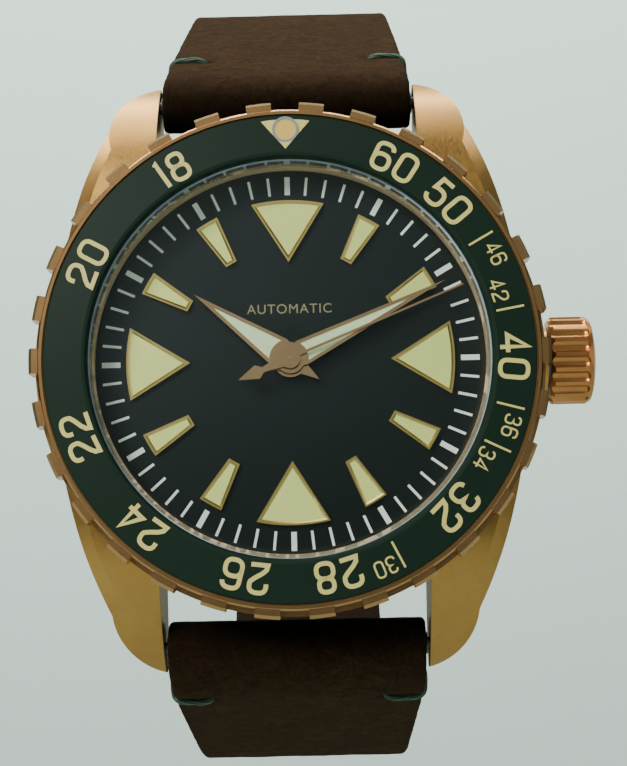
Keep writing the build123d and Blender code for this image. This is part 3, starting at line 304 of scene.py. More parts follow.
def flat_boxes(boxes):
    """Points and faces of thin closed boxes, each given as four corners and its two heights."""
    points = []
    faces = []
    for corners, low, high in boxes:
        start = len(points)
        for height in (low, high):
            points += [Vector((x, -height, z)) * MM for x, z in corners]
        faces += [(start, start + 1, start + 2, start + 3), (start + 7, start + 6, start + 5, start + 4)]
        for i in range(4):
            k = (i + 1) % 4
            faces.append((start + i, start + 4 + i, start + 4 + k, start + k))
    return points, faces


def radial_box(angle, inner, outer, half):
    """The corners of a bar that points away from the dial's middle."""
    a = radians(angle)
    along = (sin(a), cos(a))
    across = (cos(a), -sin(a))
    return [(r * along[0] + s * across[0], r * along[1] + s * across[1])
            for r, s in ((inner, -half), (inner, half), (outer, half), (outer, -half))]


ticks = []
for minute in range(60):
    half = 0.225 if minute % 5 == 0 else 0.11
    ticks.append((radial_box(6 * minute, 14.01, 15.55, half), DIAL_TOP - 0.01, DIAL_TOP + 0.02))
make_mesh("minute_track", *flat_boxes(ticks), tick_white, "case", "lume_cream", smooth=False)

word = bpy.data.curves.new("dial_word", "FONT")
word.body = "AUTOMATIC"
word.size = 1.12 * MM
word.align_x = "CENTER"
word.align_y = "CENTER"
word.space_character = 1.12
word.extrude = 0.012 * MM
dial_word = bpy.data.objects.new("dial_word", word)
bpy.context.scene.collection.objects.link(dial_word)
dial_word.location = Vector((0, -(DIAL_TOP + 0.01), 4.35)) * MM
dial_word.rotation_euler = (pi / 2, 0, 0)
word.materials.append(dial_print)
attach(dial_word, "case")


# ================================================================ bezel numerals
def arc(cx, cy, rx, ry, start, end, steps=14):
    """Points along part of a slightly squared ellipse; angles in degrees from +x, anticlockwise."""
    points = []
    for i in range(steps + 1):
        a = radians(start + (end - start) * i / steps)
        across = copysign(abs(cos(a)) ** 0.78, cos(a))
        upward = copysign(abs(sin(a)) ** 0.78, sin(a))
        points.append((cx + rx * across, cy + ry * upward))
    return points


# each digit's strokes, in a box 1 wide and 2 high
GLYPHS = {
    "0": [arc(0.5, 1.45, 0.5, 0.55, 180, 0) + arc(0.5, 0.55, 0.5, 0.55, 0, -180) + [(0, 1.45)]],
    "1": [[(0.36, 1.9), (0.5, 2.0), (0.5, 0.0)]],
    "2": [arc(0.5, 1.5, 0.5, 0.5, 195, -25)
          + [(0.72, 0.98), (0.3, 0.62), (0.08, 0.34), (0.03, 0.02), (1.02, 0.06)]],
    "3": [arc(0.5, 1.52, 0.45, 0.48, 175, -70) + [(0.42, 1.06)] + arc(0.5, 0.53, 0.5, 0.53, 75, -175)],
    "4": [[(0.72, 0.0), (0.72, 2.0), (0.0, 0.55), (1.05, 0.55)]],
    "5": [[(0.98, 1.98), (0.2, 1.98), (0.12, 1.14)] + arc(0.48, 0.6, 0.52, 0.62, 115, -170)],
    "6": [arc(0.5, 1.5, 0.5, 0.5, 5, 180) + [(0, 0.6)] + arc(0.5, 0.58, 0.5, 0.58, 180, 540, 24)],
    "8": [arc(0.5, 1.53, 0.44, 0.47, 0, 360, 24), arc(0.5, 0.53, 0.5, 0.53, 0, 360, 24)],
}
INSERT_OUTER_R = 19.82
INSERT_OUTER_HEIGHT = 12.17
INSERT_INNER_R = 16.75
INSERT_INNER_HEIGHT = 12.45
INSERT_SLOPE = (INSERT_INNER_HEIGHT - INSERT_OUTER_HEIGHT) / (INSERT_OUTER_R - INSERT_INNER_R)


def insert_height(radius):
    """The height of the insert's sloping face at a radius."""
    return INSERT_OUTER_HEIGHT + (INSERT_OUTER_R - radius) * INSERT_SLOPE


def ribbon(stroke, half, angle, base, scale):
    """Left and right edges of a stroke laid on the insert, in (x, z)."""
    a = radians(angle)
    flat = [((x - 0.5) * scale[0], base + y * scale[1]) for x, y in stroke]
    edges = []
    for i, (x, y) in enumerate(flat):
        before = flat[max(i - 1, 0)]
        after = flat[min(i + 1, len(flat) - 1)]
        if i == 0 and flat[0] == flat[-1]:
            before = flat[-2]
        if i == len(flat) - 1 and flat[0] == flat[-1]:
            after = flat[1]
        ax, ay = x - before[0], y - before[1]
        bx, by = after[0] - x, after[1] - y
        la = sqrt(ax * ax + ay * ay) or 1
        lb = sqrt(bx * bx + by * by) or 1
        tx, ty = ax / la + bx / lb, ay / la + by / lb
        length = sqrt(tx * tx + ty * ty) or 1
        reach = half / max(length / 2, 0.5) if la != 1 and lb != 1 else half
        nx, ny = -ty / length * reach, tx / length * reach
        edges.append([(x + nx, y + ny), (x - nx, y - ny)])
    return [[(px * cos(a) + py * sin(a), -px * sin(a) + py * cos(a)) for px, py in pair] for pair in edges]


def lay_print(name, strips, mat, body, lift=0.022, sink=0.02):
    """A printed figure of ribbons, each a thin closed strip on the insert."""
    points = []
    faces = []
    for strip in strips:
        start = len(points)
        for pair in strip:
            for x, z in pair:
                height = insert_height(sqrt(x * x + z * z))
                points.append(Vector((x, -(height + lift), z)) * MM)
                points.append(Vector((x, -(height - sink), z)) * MM)
        for i in range(len(strip) - 1):
            p = start + 4 * i
            q = p + 4
            faces += [(p, q, q + 2, p + 2), (p + 1, p + 3, q + 3, q + 1),
                      (p, p + 1, q + 1, q), (p + 2, q + 2, q + 3, p + 3)]
        end = start + 4 * (len(strip) - 1)
        faces += [(start, start + 2, start + 3, start + 1), (end, end + 1, end + 3, end + 2)]
    mesh = bpy.data.meshes.new(name)
    mesh.from_pydata([tuple(p) for p in points], [], faces)
    piece = bpy.data.objects.new(name, mesh)
    bpy.context.scene.collection.objects.link(piece)
    mesh.materials.append(mat)
    work = bmesh.new()
    work.from_mesh(mesh)
    bmesh.ops.recalc_face_normals(work, faces=work.faces)
    work.to_mesh(mesh)
    work.free()
    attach(piece, body)
    return piece


def number(text, angle, base, tall, wide, gap, half):
    """The strips of a number centred on a clock angle, each digit turned to the middle."""
    strips = []
    middle = base + tall / 2
    widths = [2.4 * half if digit == "1" else wide for digit in text]
    offset = -(sum(widths) + gap * (len(text) - 1)) / 2
    for digit, width in zip(text, widths):
        turn_by = (offset + width / 2) / middle * 180 / pi
        offset += width + gap
        for stroke in GLYPHS[digit]:
            strips.append(ribbon(stroke, half, angle + turn_by, base, (wide - 2 * half, tall / 2 - half)))
    return strips


large = [("60", 29.4), ("50", 46.8), ("40", 91.6), ("32", 134.0), ("28", 168.7), ("26", 192.3),
         ("24", 221.6), ("22", 249.7), ("20", 295.7), ("18", 329.5)]
strips = []
for text, angle in large:
    strips += number(text, angle, 16.9, 2.62, 1.7, 0.42, 0.18)
lay_print("insert_numerals", strips, numeral_cream, "bezel")

strips = []
small = [("46", 64.8, 18.0), ("42", 74.0, 17.0), ("36", 109.3, 18.0), ("34", 119.7, 17.0),
         ("30", 157.0, 18.0)]
for text, angle, base in small:
    strips += number(text, angle, base, 1.4, 0.82, 0.2, 0.075)
for angle in (59.6, 79.2, 104.4, 115.2, 152.8):
    corners = radial_box(angle, 17.0, 19.3, 0.085)
    strips.append([[corners[0], corners[1]], [corners[3], corners[2]]])
lay_print("insert_fine_marks", strips, numeral_cream, "bezel")

# triangle at 12, open in the middle for the pip
PIP_AT = 18.64
PIP_OUTER_R = 1.08
outline = [(0.0, 17.0), (2.0, 19.38), (1.36, 19.47), (0.7, 19.51), (0, 19.52),
           (-0.7, 19.51), (-1.36, 19.47), (-2.0, 19.38)]
triangle = []
for i in range(73):
    a = 2 * pi * i / 72
    direction = (sin(a), cos(a))
    reach = 9.0
    for (x1, y1), (x2, y2) in zip(outline, outline[1:] + outline[:1]):
        px, py = x1, y1 - PIP_AT
        ex, ey = x2 - x1, y2 - y1
        cross = direction[0] * ey - direction[1] * ex
        if abs(cross) > 1e-9:
            far = (px * ey - py * ex) / cross
            share = (px * direction[1] - py * direction[0]) / cross
            if far > 0 and -1e-6 <= share <= 1 + 1e-6:
                reach = min(reach, far)
    near = min(PIP_OUTER_R - 0.02, reach - 0.01)
    triangle.append([(near * direction[0], PIP_AT + near * direction[1]),
                     (reach * direction[0], PIP_AT + reach * direction[1])])
lay_print("insert_triangle", [triangle], numeral_cream, "bezel", lift=0.018)

# ================================================================ strap
BAR_Z = 23.2
BAR_HEIGHT = 3.9
STRAP_HALF_WIDTH = 10.65
BUCKLE_HALF_WIDTH = 9.0
STRAP_T = 3.0
LAYER = STRAP_T / 2
TAPER_DEPTH = 70.0
# start and end heading in degrees below the dial, and length, of each bend
TOP_BENDS = [(40, 60, 5.0), (60, 62, 26.5), (62, 84, 12.0), (84, 90, 31.5)]
BOTTOM_BENDS = [(22, 74, 4.5), (74, 75, 21.5), (75, 90, 10.0), (90, 150, 76.0)]
BENDS = {1: TOP_BENDS, -1: BOTTOM_BENDS}
BUCKLE_AT = 75.0
TAIL_LENGTH = 112.0
FIXED_KEEPER_AT = BUCKLE_AT - 8.6
FREE_KEEPER_AT = BUCKLE_AT - 14.8
# how far the folded ends run back, past a spring bar and past the buckle's bar
TOP_FOLD_BACK = 11.0
BOTTOM_FOLD_BACK = 8.6
BUCKLE_FOLD_BACK = 9.0
# radius of the leather's middle round a spring bar and round the buckle's bar
BAR_WRAP = 1.55
BUCKLE_WRAP = 1.35
# its thickness there, and the length over which it opens out to go round
BAR_FOLD_T = 1.25
BUCKLE_FOLD_T = 1.1
FOLD_BLEND = 4.5
# where a thread goes in, short of its full reach from the edge
SLIT_INSET = 0.55
# (side, distance from the spring bar, reach in from the edge) of each pair of stitches
STITCHES = [(1, 8.6, 3.6), (1, BUCKLE_AT - 5.5, 3.0), (-1, 5.2, 3.8)]


def along(side, distance):
    """(z, height, heading in radians) on a strap's middle line."""
    z = BAR_Z
    height = BAR_HEIGHT
    for start, end, length in BENDS[side]:
        run = min(distance, length)
        radius = length / radians(end - start)
        a = radians(start)
        b = radians(start + (end - start) * run / length)
        z += radius * (sin(b) - sin(a))
        height += radius * (cos(b) - cos(a))
        distance -= run
        if distance <= 0:
            break
    return z, height, b


def on_strap(side, distance, x, out):
    """A point in mm at a distance along a strap, across it, and out from its middle line."""
    z, height, a = along(side, distance)
    return Vector((x, -(height + out * cos(a)), side * (z + out * sin(a))))


def half_width(side, distance):
    """Half of the strap's width at a distance from its spring bar."""
    depth = BAR_HEIGHT - along(side, max(distance, 0))[1]
    share = min(max(depth / TAPER_DEPTH, 0), 1)
    half = STRAP_HALF_WIDTH + (BUCKLE_HALF_WIDTH - STRAP_HALF_WIDTH) * share
    left = TAIL_LENGTH - distance
    if side < 0 and left < half:
        half = sqrt(max(half * half - (half - left) ** 2, 0.3))
    return half


def smooth(t):
    """0 to 1 with soft ends."""
    t = min(max(t, 0), 1)
    return t * t * (3 - 2 * t)


def section(half, thick, columns, corner):
    """A rounded rectangle as (across, out) points round its edge."""
    corner = min(corner, half * 0.6)
    rise = min(corner, thick / 2)
    flat = half - corner
    points = []
    for x_hand, out_hand in ((1, 1), (1, -1), (-1, -1), (-1, 1)):
        first_turn = 90 if x_hand == out_hand else 0
        if x_hand == out_hand:
            for i in range(columns + 1):
                points.append((x_hand * (2 * flat * i / columns - flat), out_hand * thick / 2))
        for i in range(1, 6):
            turn_by = radians(15 * i if first_turn == 0 else 90 - 15 * i)
            across = flat + corner * cos(turn_by)
            points.append((x_hand * across, out_hand * (thick / 2 - rise + rise * sin(turn_by))))
    return points


def leather(name, side, stations, columns, mat, body):
    """A strip of suede through stations of (z, height, outward angle, half width, thickness, distance)."""
    rings = []
    for z, height, outward, half, thick, distance in stations:
        nz, nh = sin(outward), cos(outward)
        ring = []
        for x, out in section(half, thick, columns, 0.4):
            p = Vector((x, -(height + out * nh), side * (z + out * nz)))
            hand = 1 if x > 0 else -1
            # a slow unevenness, and a slightly wandering cut edge
            if out > thick * 0.3:
                out += 0.035 * noise.noise(p * 0.35) + 0.03 * noise.noise(p * 1.3)
            if abs(x) > half - 0.41:
                x += hand * (0.05 * noise.noise(p * 0.9) + 0.025 * noise.noise(p * 3.0))
            # thread pulls the suede in
            for stitch_side, at, reach in STITCHES:
                if stitch_side == side and abs(distance - at) < 2.5:
                    pull = exp(-(((distance - at) / 0.55) ** 2))
                    over = smooth((abs(x) - (half - reach - 0.5)) / 1.0)
                    if out > 0:
                        out -= 0.26 * pull * over
                    if abs(x) > half - 0.41:
                        x -= hand * 0.22 * pull
            ring.append(Vector((x, -(height + out * nh), side * (z + out * nz))) * MM)
        rings.append(ring)
    points, faces = skin(rings)
    return make_mesh(name, points, faces, mat, body, "suede")


def steps(start, end, fine_at=()):
    """Distances from start to end, closer together next to a stitch or an end."""
    places = [start]
    hand = 1 if end > start else -1
    while (end - places[-1]) * hand > 1e-6:
        here = places[-1]
        near = min([abs(here - at) for at in fine_at] + [9.0])
        step = 0.14 if near < 1.6 else 0.45
        if min(abs(here - start), abs(here - end)) < 1.3:
            step = min(step, 0.1 + 0.2 * min(abs(here - start), abs(here - end)))
        places.append(here + hand * step if (end - here) * hand > step else end)
    return places


def fold_stations(side, length, fold_back):
    """Stations of the outer layer: from its end to the spring bar, round it, and a way back."""
    stations = []
    fine_at = [at for stitch_side, at, reach in STITCHES if stitch_side == side]
    if side > 0:
        # starts on the inside, and goes round the buckle's bar
        for distance in steps(length - BUCKLE_FOLD_BACK, length, fine_at)[:-1]:
            z, height, a = along(side, distance)
            share = smooth(1 - (length - distance) / FOLD_BLEND)
            thick = LAYER + (BUCKLE_FOLD_T - LAYER) * share
            thick *= 0.25 + 0.75 * sqrt(min((distance - length + BUCKLE_FOLD_BACK) / 1.4, 1))
            off = -(LAYER - thick / 2) * (1 - share) - BUCKLE_WRAP * share
            half = half_width(side, distance)
            stations.append((z + off * sin(a), height + off * cos(a), a + pi, half, thick, 0))
        z, height, a = along(side, length)
        for i in range(19):
            turn_by = a + pi - pi * i / 18
            stations.append((z + BUCKLE_WRAP * sin(turn_by), height + BUCKLE_WRAP * cos(turn_by), turn_by,
                             BUCKLE_HALF_WIDTH, BUCKLE_FOLD_T, 0))
    for distance in steps(length, 0, fine_at)[:-1]:
        z, height, a = along(side, distance)
        share = smooth(1 - distance / FOLD_BLEND)
        off = LAYER / 2 + (BAR_WRAP - LAYER / 2) * share
        thick = LAYER + (BAR_FOLD_T - LAYER) * share
        if side < 0:
            thick *= 0.3 + 0.7 * sqrt(min((length - distance) / 1.0, 1))
        elif length - distance < FOLD_BLEND:
            share = smooth(1 - (length - distance) / FOLD_BLEND)
            off = LAYER / 2 + (BUCKLE_WRAP - LAYER / 2) * share
            thick = LAYER + (BUCKLE_FOLD_T - LAYER) * share
        half = half_width(side, distance)
        stations.append((z + off * sin(a), height + off * cos(a), a, half, thick, distance))
    a = along(side, 0)[2]
    for i in range(25):
        turn_by = a - pi * i / 24
        stations.append((BAR_Z + BAR_WRAP * sin(turn_by), BAR_HEIGHT + BAR_WRAP * cos(turn_by), turn_by,
                         STRAP_HALF_WIDTH, BAR_FOLD_T, 0))
    for distance in steps(0.3, fold_back, fine_at):
        z, height, a = along(side, distance)
        share = smooth(1 - distance / FOLD_BLEND)
        thick = LAYER + (BAR_FOLD_T - LAYER) * share
        thick *= 1 - 0.75 * smooth((distance - fold_back + 1.6) / 1.6)
        off = -(LAYER - thick / 2) * (1 - share) - BAR_WRAP * share
        half = half_width(side, distance)
        stations.append((z + off * sin(a), height + off * cos(a), a - pi, half, thick, distance))
    return stations


def lining_stations(side, start, length):
    """Stations of the inner layer, which starts where the folded end stops."""
    stations = []
    for distance in steps(start, length):
        z, height, a = along(side, distance)
        from_end = min(distance - start, length - distance)
        thick = LAYER * (0.3 + 0.7 * sqrt(min(max(from_end, 0) / 1.0, 1)))
        off = -LAYER + thick / 2
        stations.append((z + off * sin(a), height + off * cos(a), a, half_width(side, distance), thick, -9))
    return stations


def prisms(shapes):
    """A mesh of closed prisms through a strap: (side, distance, low, high, outline of (across, along))."""
    points = []
    faces = []
    for side, distance, low, high, outline in shapes:
        middle = on_strap(side, distance, 0, 0)
        out = on_strap(side, distance, 0, 1) - middle
        forward = on_strap(side, distance + 0.01, 0, 0) - on_strap(side, distance - 0.01, 0, 0)
        forward.normalize()
        start = len(points)
        count = len(outline)
        for level in (low, high):
            for x, y in outline:
                points.append((middle + Vector((x, 0, 0)) + forward * y + out * level) * MM)
        faces.append(tuple(range(start, start + count)))
        faces.append(tuple(range(start + 2 * count - 1, start + count - 1, -1)))
        for i in range(count):
            k = (i + 1) % count
            faces.append((start + i, start + count + i, start + count + k, start + k))
    mesh = bpy.data.meshes.new("cutter")
    mesh.from_pydata([tuple(p) for p in points], [], faces)
    work = bmesh.new()
    work.from_mesh(mesh)
    bmesh.ops.recalc_face_normals(work, faces=work.faces)
    work.to_mesh(mesh)
    work.free()
    return mesh


def cut_out(piece, cutter_mesh):
    """Cuts closed prisms out of a piece for good and keeps the cut edges crisp."""
    cutter = bpy.data.objects.new("cutter", cutter_mesh)
    bpy.context.scene.collection.objects.link(cutter)
    cut = piece.modifiers.new("cut", "BOOLEAN")
    cut.operation = "DIFFERENCE"
    cut.solver = "EXACT"
    cut.object = cutter
    shown = piece.evaluated_get(bpy.context.evaluated_depsgraph_get())
    result = bpy.data.meshes.new_from_object(shown)
    piece.modifiers.clear()
    piece.data = result
    result.set_sharp_from_angle(angle=radians(55))
    bpy.data.objects.remove(cutter)


# ---------------------------------------------------------------- suede and thread
def suede(name, light, dark, slow_tone):
    """Napped leather: tufts of short fibres in two browns, with a third in slow patches."""
    mat = material(name, light, Roughness=1.0, Specular_IOR_Level=0.02, Sheen_Weight=0.02,
                   Sheen_Roughness=0.5, Sheen_Tint=(0.55, 0.38, 0.26, 1))
    where = place(mat)
    slow = cloud(mat, where, 0.11, 3.0, 0.6)
    patches = cloud(mat, where, 0.7, 4.0, 0.65, 0.8)
    tufts = cloud(mat, where, 3.6, 4.0, 0.75, 1.2)
    fibres = cloud(mat, where, 9.0, 2.0, 0.7, 2.0)
    mix = maths(mat, "ADD", maths(mat, "MULTIPLY", patches, 0.25),
                maths(mat, "ADD", maths(mat, "MULTIPLY", tufts, 0.45), maths(mat, "MULTIPLY", fibres, 0.30)))
    tone = blend_colours(mat, spread(mat, mix, 0.41, 0.60), dark, light)
    tone = blend_colours(mat, spread(mat, slow, 0.35, 0.65, 0.0, 0.4), tone, slow_tone)
    # painted shade: darker where it lies against the case, standing in for the shadow under the bezel and
    # lugs
    reach = maths(mat, "ABSOLUTE", add(mat, "ShaderNodeSeparateXYZ", {0: where}).outputs["Z"])
    case_shade_range = {"Value": reach, "From Min": 21.5, "From Max": 28.5, "To Min": 0.8, "To Max": 0.0}
    soft = add(mat, "ShaderNodeMapRange", case_shade_range, interpolation_type="SMOOTHSTEP").outputs["Result"]
    tone = blend_colours(mat, soft, tone, (0.003, 0.002, 0.0013))
    to_shader(mat, "Base Color", tone)
    bumps(mat, (patches, 0.14), (tufts, 0.16), (fibres, 0.05))
    return mat


brown_suede = suede("brown_suede", (0.066, 0.0370, 0.0165), (0.0130, 0.0072, 0.0036),
                    (0.029, 0.0165, 0.0084))
lining = suede("lining_suede", (0.075, 0.046, 0.027), (0.034, 0.021, 0.012), (0.05, 0.031, 0.019))

stations = fold_stations(1, BUCKLE_AT, TOP_FOLD_BACK)
strap_top = leather("strap_top_outer", 1, stations, 44, brown_suede, "strap_top_half")
stations = fold_stations(-1, TAIL_LENGTH, BOTTOM_FOLD_BACK)
strap_bottom = leather("strap_bottom_outer", -1, stations, 44, brown_suede, "strap_bottom_half")
stations = lining_stations(1, TOP_FOLD_BACK - 0.1, BUCKLE_AT - BUCKLE_FOLD_BACK)
leather("strap_top_lining", 1, stations, 20, lining, "strap_top_half")
stations = lining_stations(-1, BOTTOM_FOLD_BACK - 0.1, TAIL_LENGTH)
bottom_lining = leather("strap_bottom_lining", -1, stations, 20, lining, "strap_bottom_half")

# adjustment holes, the tongue's slot and the thread's slits
HOLE_COUNT = 7
HOLE_STEP = 7
FIRST_HOLE_AT = TAIL_LENGTH - 24
HOLE_HALF_WIDTH = 1.1
HOLE_HALF_LENGTH = 1.5
SLOT_HALF_WIDTH = 1.6
SLOT_START = -3.5
SLOT_END = 4.0
SLOT_ROUNDING = 1.5
SLIT_HALF_LENGTH = 0.85
SLIT_HALF_WIDTH = 0.17
turns = [2 * pi * k / 28 for k in range(28)]
hole_outline = [(HOLE_HALF_WIDTH * cos(a), HOLE_HALF_LENGTH * sin(a)) for a in turns]
holes = [(-1, FIRST_HOLE_AT - HOLE_STEP * i, -4, 4, hole_outline) for i in range(HOLE_COUNT)]
cut_out(bottom_lining, prisms(holes))
turns = [pi + pi * k / 12 for k in range(1, 12)]
slot_outline = [(-SLOT_HALF_WIDTH, SLOT_END), (-SLOT_HALF_WIDTH, SLOT_START)]
slot_outline += [(SLOT_HALF_WIDTH * cos(a), SLOT_START + SLOT_ROUNDING * sin(a)) for a in turns]
slot_outline += [(SLOT_HALF_WIDTH, SLOT_START), (SLOT_HALF_WIDTH, SLOT_END)]
slits = []
for side, at, reach in STITCHES:
    for hand in (-1, 1):
        middle = hand * (half_width(side, at) - reach + SLIT_INSET - 0.25)
        turns = [2 * pi * k / 16 for k in range(16) if k % 8]
        outline = [(middle + SLIT_HALF_LENGTH * cos(a), SLIT_HALF_WIDTH * sin(a) ** 3) for a in turns]
        ends = [(middle + SLIT_HALF_LENGTH, 0), (middle - SLIT_HALF_LENGTH, 0)]
        outline = ends[:1] + outline[:7] + ends[1:] + outline[7:]
        slits.append((side, at, 0.25, 3, outline))
# known fault: the slot's prism is left standing in the fold instead of being cut out of it
cut_out(strap_top, prisms([(1, BUCKLE_AT, -3, 3, slot_outline)] + [s for s in slits if s[0] > 0]))
cut_out(strap_bottom, prisms(holes + [s for s in slits if s[0] < 0]))
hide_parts("strap_top")
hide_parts("strap_bottom")

thread_green = material("thread_green", (0.018, 0.10, 0.055), Roughness=0.55, Specular_IOR_Level=0.4,
                        Sheen_Weight=0.3, Sheen_Roughness=0.4)
twist = cloud(thread_green, place(thread_green, (2.0, 6.0, 6.0)), 3.0, 3.0, 0.6, 0.4)
strands = blend_colours(thread_green, spread(thread_green, twist, 0.35, 0.65), (0.004, 0.024, 0.013),
                        (0.028, 0.105, 0.058))
to_shader(thread_green, "Base Color", strands)
bumps(thread_green, (twist, 0.03))


def tube(path, radii, sides=8):
    """Rings of a tube with a changing radius along a path of points in mm."""
    rings = []
    for i, p in enumerate(path):
        forward = (path[min(i + 1, len(path) - 1)] - path[max(i - 1, 0)]).normalized()
        across = forward.cross(Vector((0.3, 0.2, 0.93))).normalized()
        other = forward.cross(across)
        turns = [2 * pi * k / sides for k in range(sides)]
        rings.append([(p + (across * cos(a) + other * sin(a)) * radii[i]) * MM for a in turns])
    return rings


def stitch_path(hand, half, reach):
    """(across, out) points of a thread from its slit, over the edge and back into the other slit."""
    face = LAYER - 0.02
    inner = half - reach + SLIT_INSET
    corners = [(inner - 0.15, 0.55), (inner + 0.12, face - 0.12), (inner + 0.8, face + 0.08),
               (half - 0.9, face + 0.02), (half - 0.35, face - 0.06), (half, face - 0.36), (half + 0.1, 0.6),
               (half + 0.12, 0.0), (half + 0.1, -0.6), (half, 0.36 - face), (half - 0.35, 0.06 - face),
               (half - 0.9, -face), (inner + 0.8, -face - 0.08), (inner + 0.12, 0.12 - face),
               (inner - 0.15, -0.8)]
    points = []
    for (x1, n1), (x2, n2) in zip(corners, corners[1:]):
        count = max(2, int(sqrt((x2 - x1) ** 2 + (n2 - n1) ** 2) / 0.1))
        for i in range(count):
            points.append((x1 + (x2 - x1) * i / count, n1 + (n2 - n1) * i / count))
    for _ in range(5):
        points = [points[0]] + [((a[0] + 2 * b[0] + c[0]) / 4, (a[1] + 2 * b[1] + c[1]) / 4)
                                for a, b, c in zip(points, points[1:], points[2:])] + [points[-1]]
    return [(hand * x, n) for x, n in points]


def stitch(name, pairs, body, replaced):
    """The thread of several stitches: four strands that part and twist between their slits."""
    points = []
    faces = []
    for side, at, reach in pairs:
        for hand in (-1, 1):
            path = stitch_path(hand, half_width(side, at), reach)
            count = len(path)
            for strand in range(4):
                centre = []
                radii = []
                for i, (x, out) in enumerate(path):
                    share = i / (count - 1)
                    swell = smooth(share / 0.12) * smooth((1 - share) / 0.12)
                    side_ways = 0.05 + 0.23 * swell * (0.8 + 0.2 * cos(4 * pi * share))
                    phase = pi / 2 * strand + 2.0 * pi * share * 1.7 + hand * 0.6
                    along_it = side_ways * cos(phase) + 0.03 * sin(9 * share + strand)
                    lift = (0.05 + 0.06 * swell) * sin(phase)
                    before = path[max(i - 1, 0)]
                    after = path[min(i + 1, count - 1)]
                    tx, tn = after[0] - before[0], after[1] - before[1]
                    size = sqrt(tx * tx + tn * tn)
                    nx, nn = hand * -tn / size, hand * tx / size
                    proud = lift + 0.1
                    centre.append(on_strap(side, at + along_it, x + nx * proud, out + nn * proud))
                    radii.append(0.045 + 0.05 * swell)
                strand_points, strand_faces = skin(tube(centre, radii))
                start = len(points)
                points += strand_points
                faces += [tuple(start + k for k in face) for face in strand_faces]
    piece = make_mesh(name, points, faces, thread_green, body, "thread_green")
    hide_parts(replaced)
    return piece


stitch("thread_top", [s for s in STITCHES if s[0] > 0], "strap_top_half", "strap_top_stitches")
stitch("thread_bottom", [s for s in STITCHES if s[0] < 0], "strap_bottom_half", "strap_bottom_stitches")


def keeper(name, at, play, body, replaced):
    """A suede band round the strap with room for the other half's tail."""
    band = 1.15
    wide = half_width(1, at - 2.5) + play + band / 2
    low = -LAYER - play - band / 2
    high = LAYER + 0.3 + STRAP_T + 0.3 + band / 2
    corner = band / 2 + 0.15
    path = []
    for cx, cn, start in ((wide, high, 0), (-wide, high, 90), (-wide, low, 180), (wide, low, 270)):
        for i in range(9):
            a = radians(start + 90 * i / 8)
            mid_x = cx - corner * (1 if cx > 0 else -1)
            mid_n = cn - corner * (1 if cn > low else -1)
            path.append((mid_x + corner * cos(a), mid_n + corner * sin(a), a))
        a = radians(start + 90)
        reach = 2 * wide - 2 * corner if start in (0, 180) else high - low - 2 * corner
        fill = max(2, int(reach / 0.6))
        x0, n0 = path[-1][:2]
        for i in range(1, fill):
            path.append((x0 - sin(a) * reach * i / fill, n0 + cos(a) * reach * i / fill, a))
    rings = []
    for x, out, a in path:
        ring = []
        for across, thick in section(2.5, band, 12, 0.35):
            p = on_strap(1, at + across, x + thick * cos(a), out + thick * sin(a))
            proud = thick + 0.03 * noise.noise(p * 0.6) + 0.03 * noise.noise(p * 1.7)
            ring.append(on_strap(1, at + across, x + proud * cos(a), out + proud * sin(a)) * MM)
        rings.append(ring)
    points, faces = skin(rings, True)
    piece = make_mesh(name, points, faces, brown_suede, body, "suede")
    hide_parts(replaced)
    return piece


keeper("keeper_band_fixed", FIXED_KEEPER_AT, 0.1, "strap_top_half", "fixed_keeper")
keeper("keeper_band_free", FREE_KEEPER_AT, 0.4, "loose_keeper", "free_keeper")


# ================================================================ camera, lights and floor
# the camera's turn and its place in metres, fitted to the dial's ticks and the bezel's edge
TILT = (radians(-7.88), radians(-0.39), radians(1.30))
CAMERA_PLACE = Vector((0.00281, -0.14929, -0.02129))
tilt_x, tilt_y, tilt_z = (Matrix.Rotation(a, 3, axis) for a, axis in zip(TILT, "XYZ"))
turned = tilt_z @ tilt_y @ tilt_x
from_row = Matrix(((1, 0, 0), (0, 0, 1), (0, -1, 0)))
camera_data = bpy.data.cameras.new("camera")
camera = bpy.data.objects.new("camera", camera_data)
bpy.context.scene.collection.objects.link(camera)
stand = Matrix.Translation(CAMERA_PLACE)
camera.matrix_world = stand @ (turned @ from_row).transposed().to_4x4()
camera_data.sensor_width = 36
camera_data.lens = 81.15
camera_data.clip_start = 0.005
bpy.context.scene.camera = camera


def soft_light(name, where, aim, size, watts, colour=(1, 1, 1)):
    """A rectangular softbox in metres that points at aim."""
    data = bpy.data.lights.new(name, "AREA")
    data.shape = "RECTANGLE"
    data.size, data.size_y = size
    data.energy = watts
    data.color = colour
    lamp = bpy.data.objects.new(name, data)
    bpy.context.scene.collection.objects.link(lamp)
    lamp.location = where
    lamp.rotation_euler = (Vector(aim) - Vector(where)).to_track_quat("-Z", "Y").to_euler()
    return lamp


soft_light("key_light", (-0.36, -0.50, 0.34), (0, 0, 0), (0.30, 0.30), 6.3, (1.0, 0.98, 0.94))
soft_light("side_light", (0.50, -0.34, 0.06), (0, 0, 0), (0.2, 0.5), 0.45, (0.92, 0.97, 1.0))
soft_light("top_light", (-0.16, -0.06, 0.50), (0, 0, 0.03), (0.35, 0.35), 1.7, (1.0, 0.99, 0.96))
soft_light("wall_light", (0.0, 0.12, 0.75), (0, 0.6, 0.25), (1.2, 0.2), 12.0)

# a dim room, lighter above, with a pale patch in front that the metals and the crystal reflect
world = bpy.data.worlds.new("studio")
bpy.context.scene.world = world
world.use_nodes = True
room = world.node_tree
where = room.nodes.new("ShaderNodeTexCoord")
parts = room.nodes.new("ShaderNodeSeparateXYZ")
room.links.new(where.outputs["Generated"], parts.inputs[0])


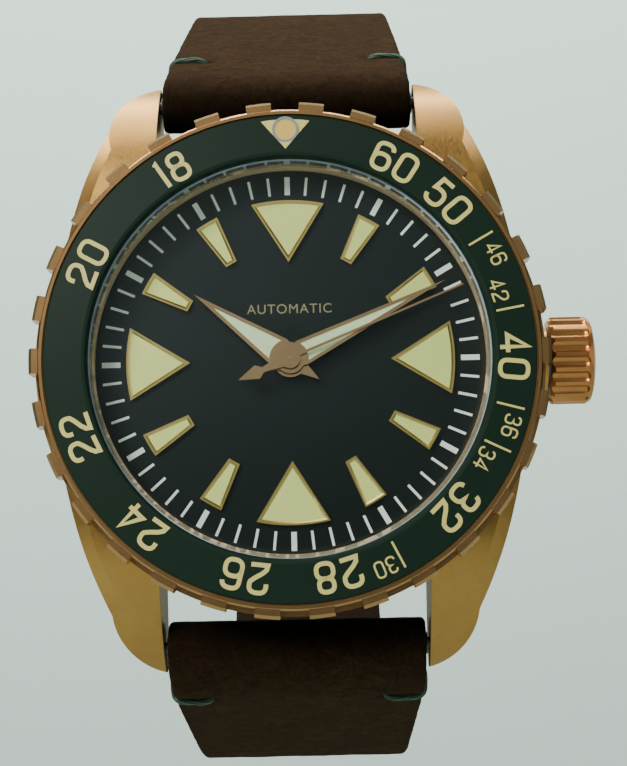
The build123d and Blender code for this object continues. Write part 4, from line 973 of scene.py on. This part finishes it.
def room_ramp(axis, low, high, out_low, out_high):
    """A soft ramp along one direction of the room."""
    ramp = room.nodes.new("ShaderNodeMapRange")
    ramp.interpolation_type = "SMOOTHSTEP"
    for key, value in (("From Min", low), ("From Max", high), ("To Min", out_low), ("To Max", out_high)):
        ramp.inputs[key].default_value = value
    room.links.new(parts.outputs[axis], ramp.inputs["Value"])
    return ramp.outputs["Result"]


def room_sum(operation, a, b):
    """Two outputs added or multiplied."""
    made = room.nodes.new("ShaderNodeMath")
    made.operation = operation
    room.links.new(a, made.inputs[0])
    room.links.new(b, made.inputs[1])
    return made.outputs[0]


patch = room_sum("MULTIPLY", room_ramp("Y", -0.72, -0.97, 0.0, 0.42), room_ramp("Z", -0.10, 0.20, 0.05, 1.0))
patch = room_sum("MULTIPLY", patch, room_ramp("X", 0.30, -0.25, 0.55, 1.35))
shade = room.nodes["Background"]
shade.inputs["Color"].default_value = (0.86, 1.0, 0.96, 1)
room.links.new(room_sum("ADD", room_ramp("Z", -0.05, 0.7, 0.015, 0.22), patch), shade.inputs["Strength"])

# a pale floor that curves up into a wall behind the watch, in metres
FLOOR_Z = -0.125
FLOOR_END = 0.2
CURVE_R = 0.4
PAPER_LOW = (0.315, 0.375, 0.350)
rows = [(-1.2, FLOOR_Z), (FLOOR_END, FLOOR_Z)]
for i in range(1, 13):
    a = pi / 2 * i / 12
    rows.append((FLOOR_END + CURVE_R * sin(a), FLOOR_Z + CURVE_R * (1 - cos(a))))
rows.append((FLOOR_END + CURVE_R, 1.6))
sweep = bpy.data.meshes.new("studio_sweep")
sweep.from_pydata([(x, y, z) for y, z in rows for x in (-1.8, 1.8)], [],
                  [(2 * i, 2 * i + 1, 2 * i + 3, 2 * i + 2) for i in range(len(rows) - 1)])
for face in sweep.polygons:
    face.use_smooth = True
floor = bpy.data.objects.new("studio_sweep", sweep)
bpy.context.scene.collection.objects.link(floor)
floor_mat = material("studio_paper", PAPER_LOW, Roughness=0.9)
# painted light: the paper's colour grows paler higher up, standing in for the brighter light on the upper
# wall
up = add(floor_mat, "ShaderNodeSeparateXYZ", {0: place(floor_mat)}).outputs["Z"]
painted_light_rise = spread(floor_mat, up, -95, 270)
to_shader(floor_mat, "Base Color", blend_colours(floor_mat, painted_light_rise, PAPER_LOW, (0.64, 0.81, 0.70)))
sweep.materials.append(floor_mat)

bpy.context.view_layer.update()
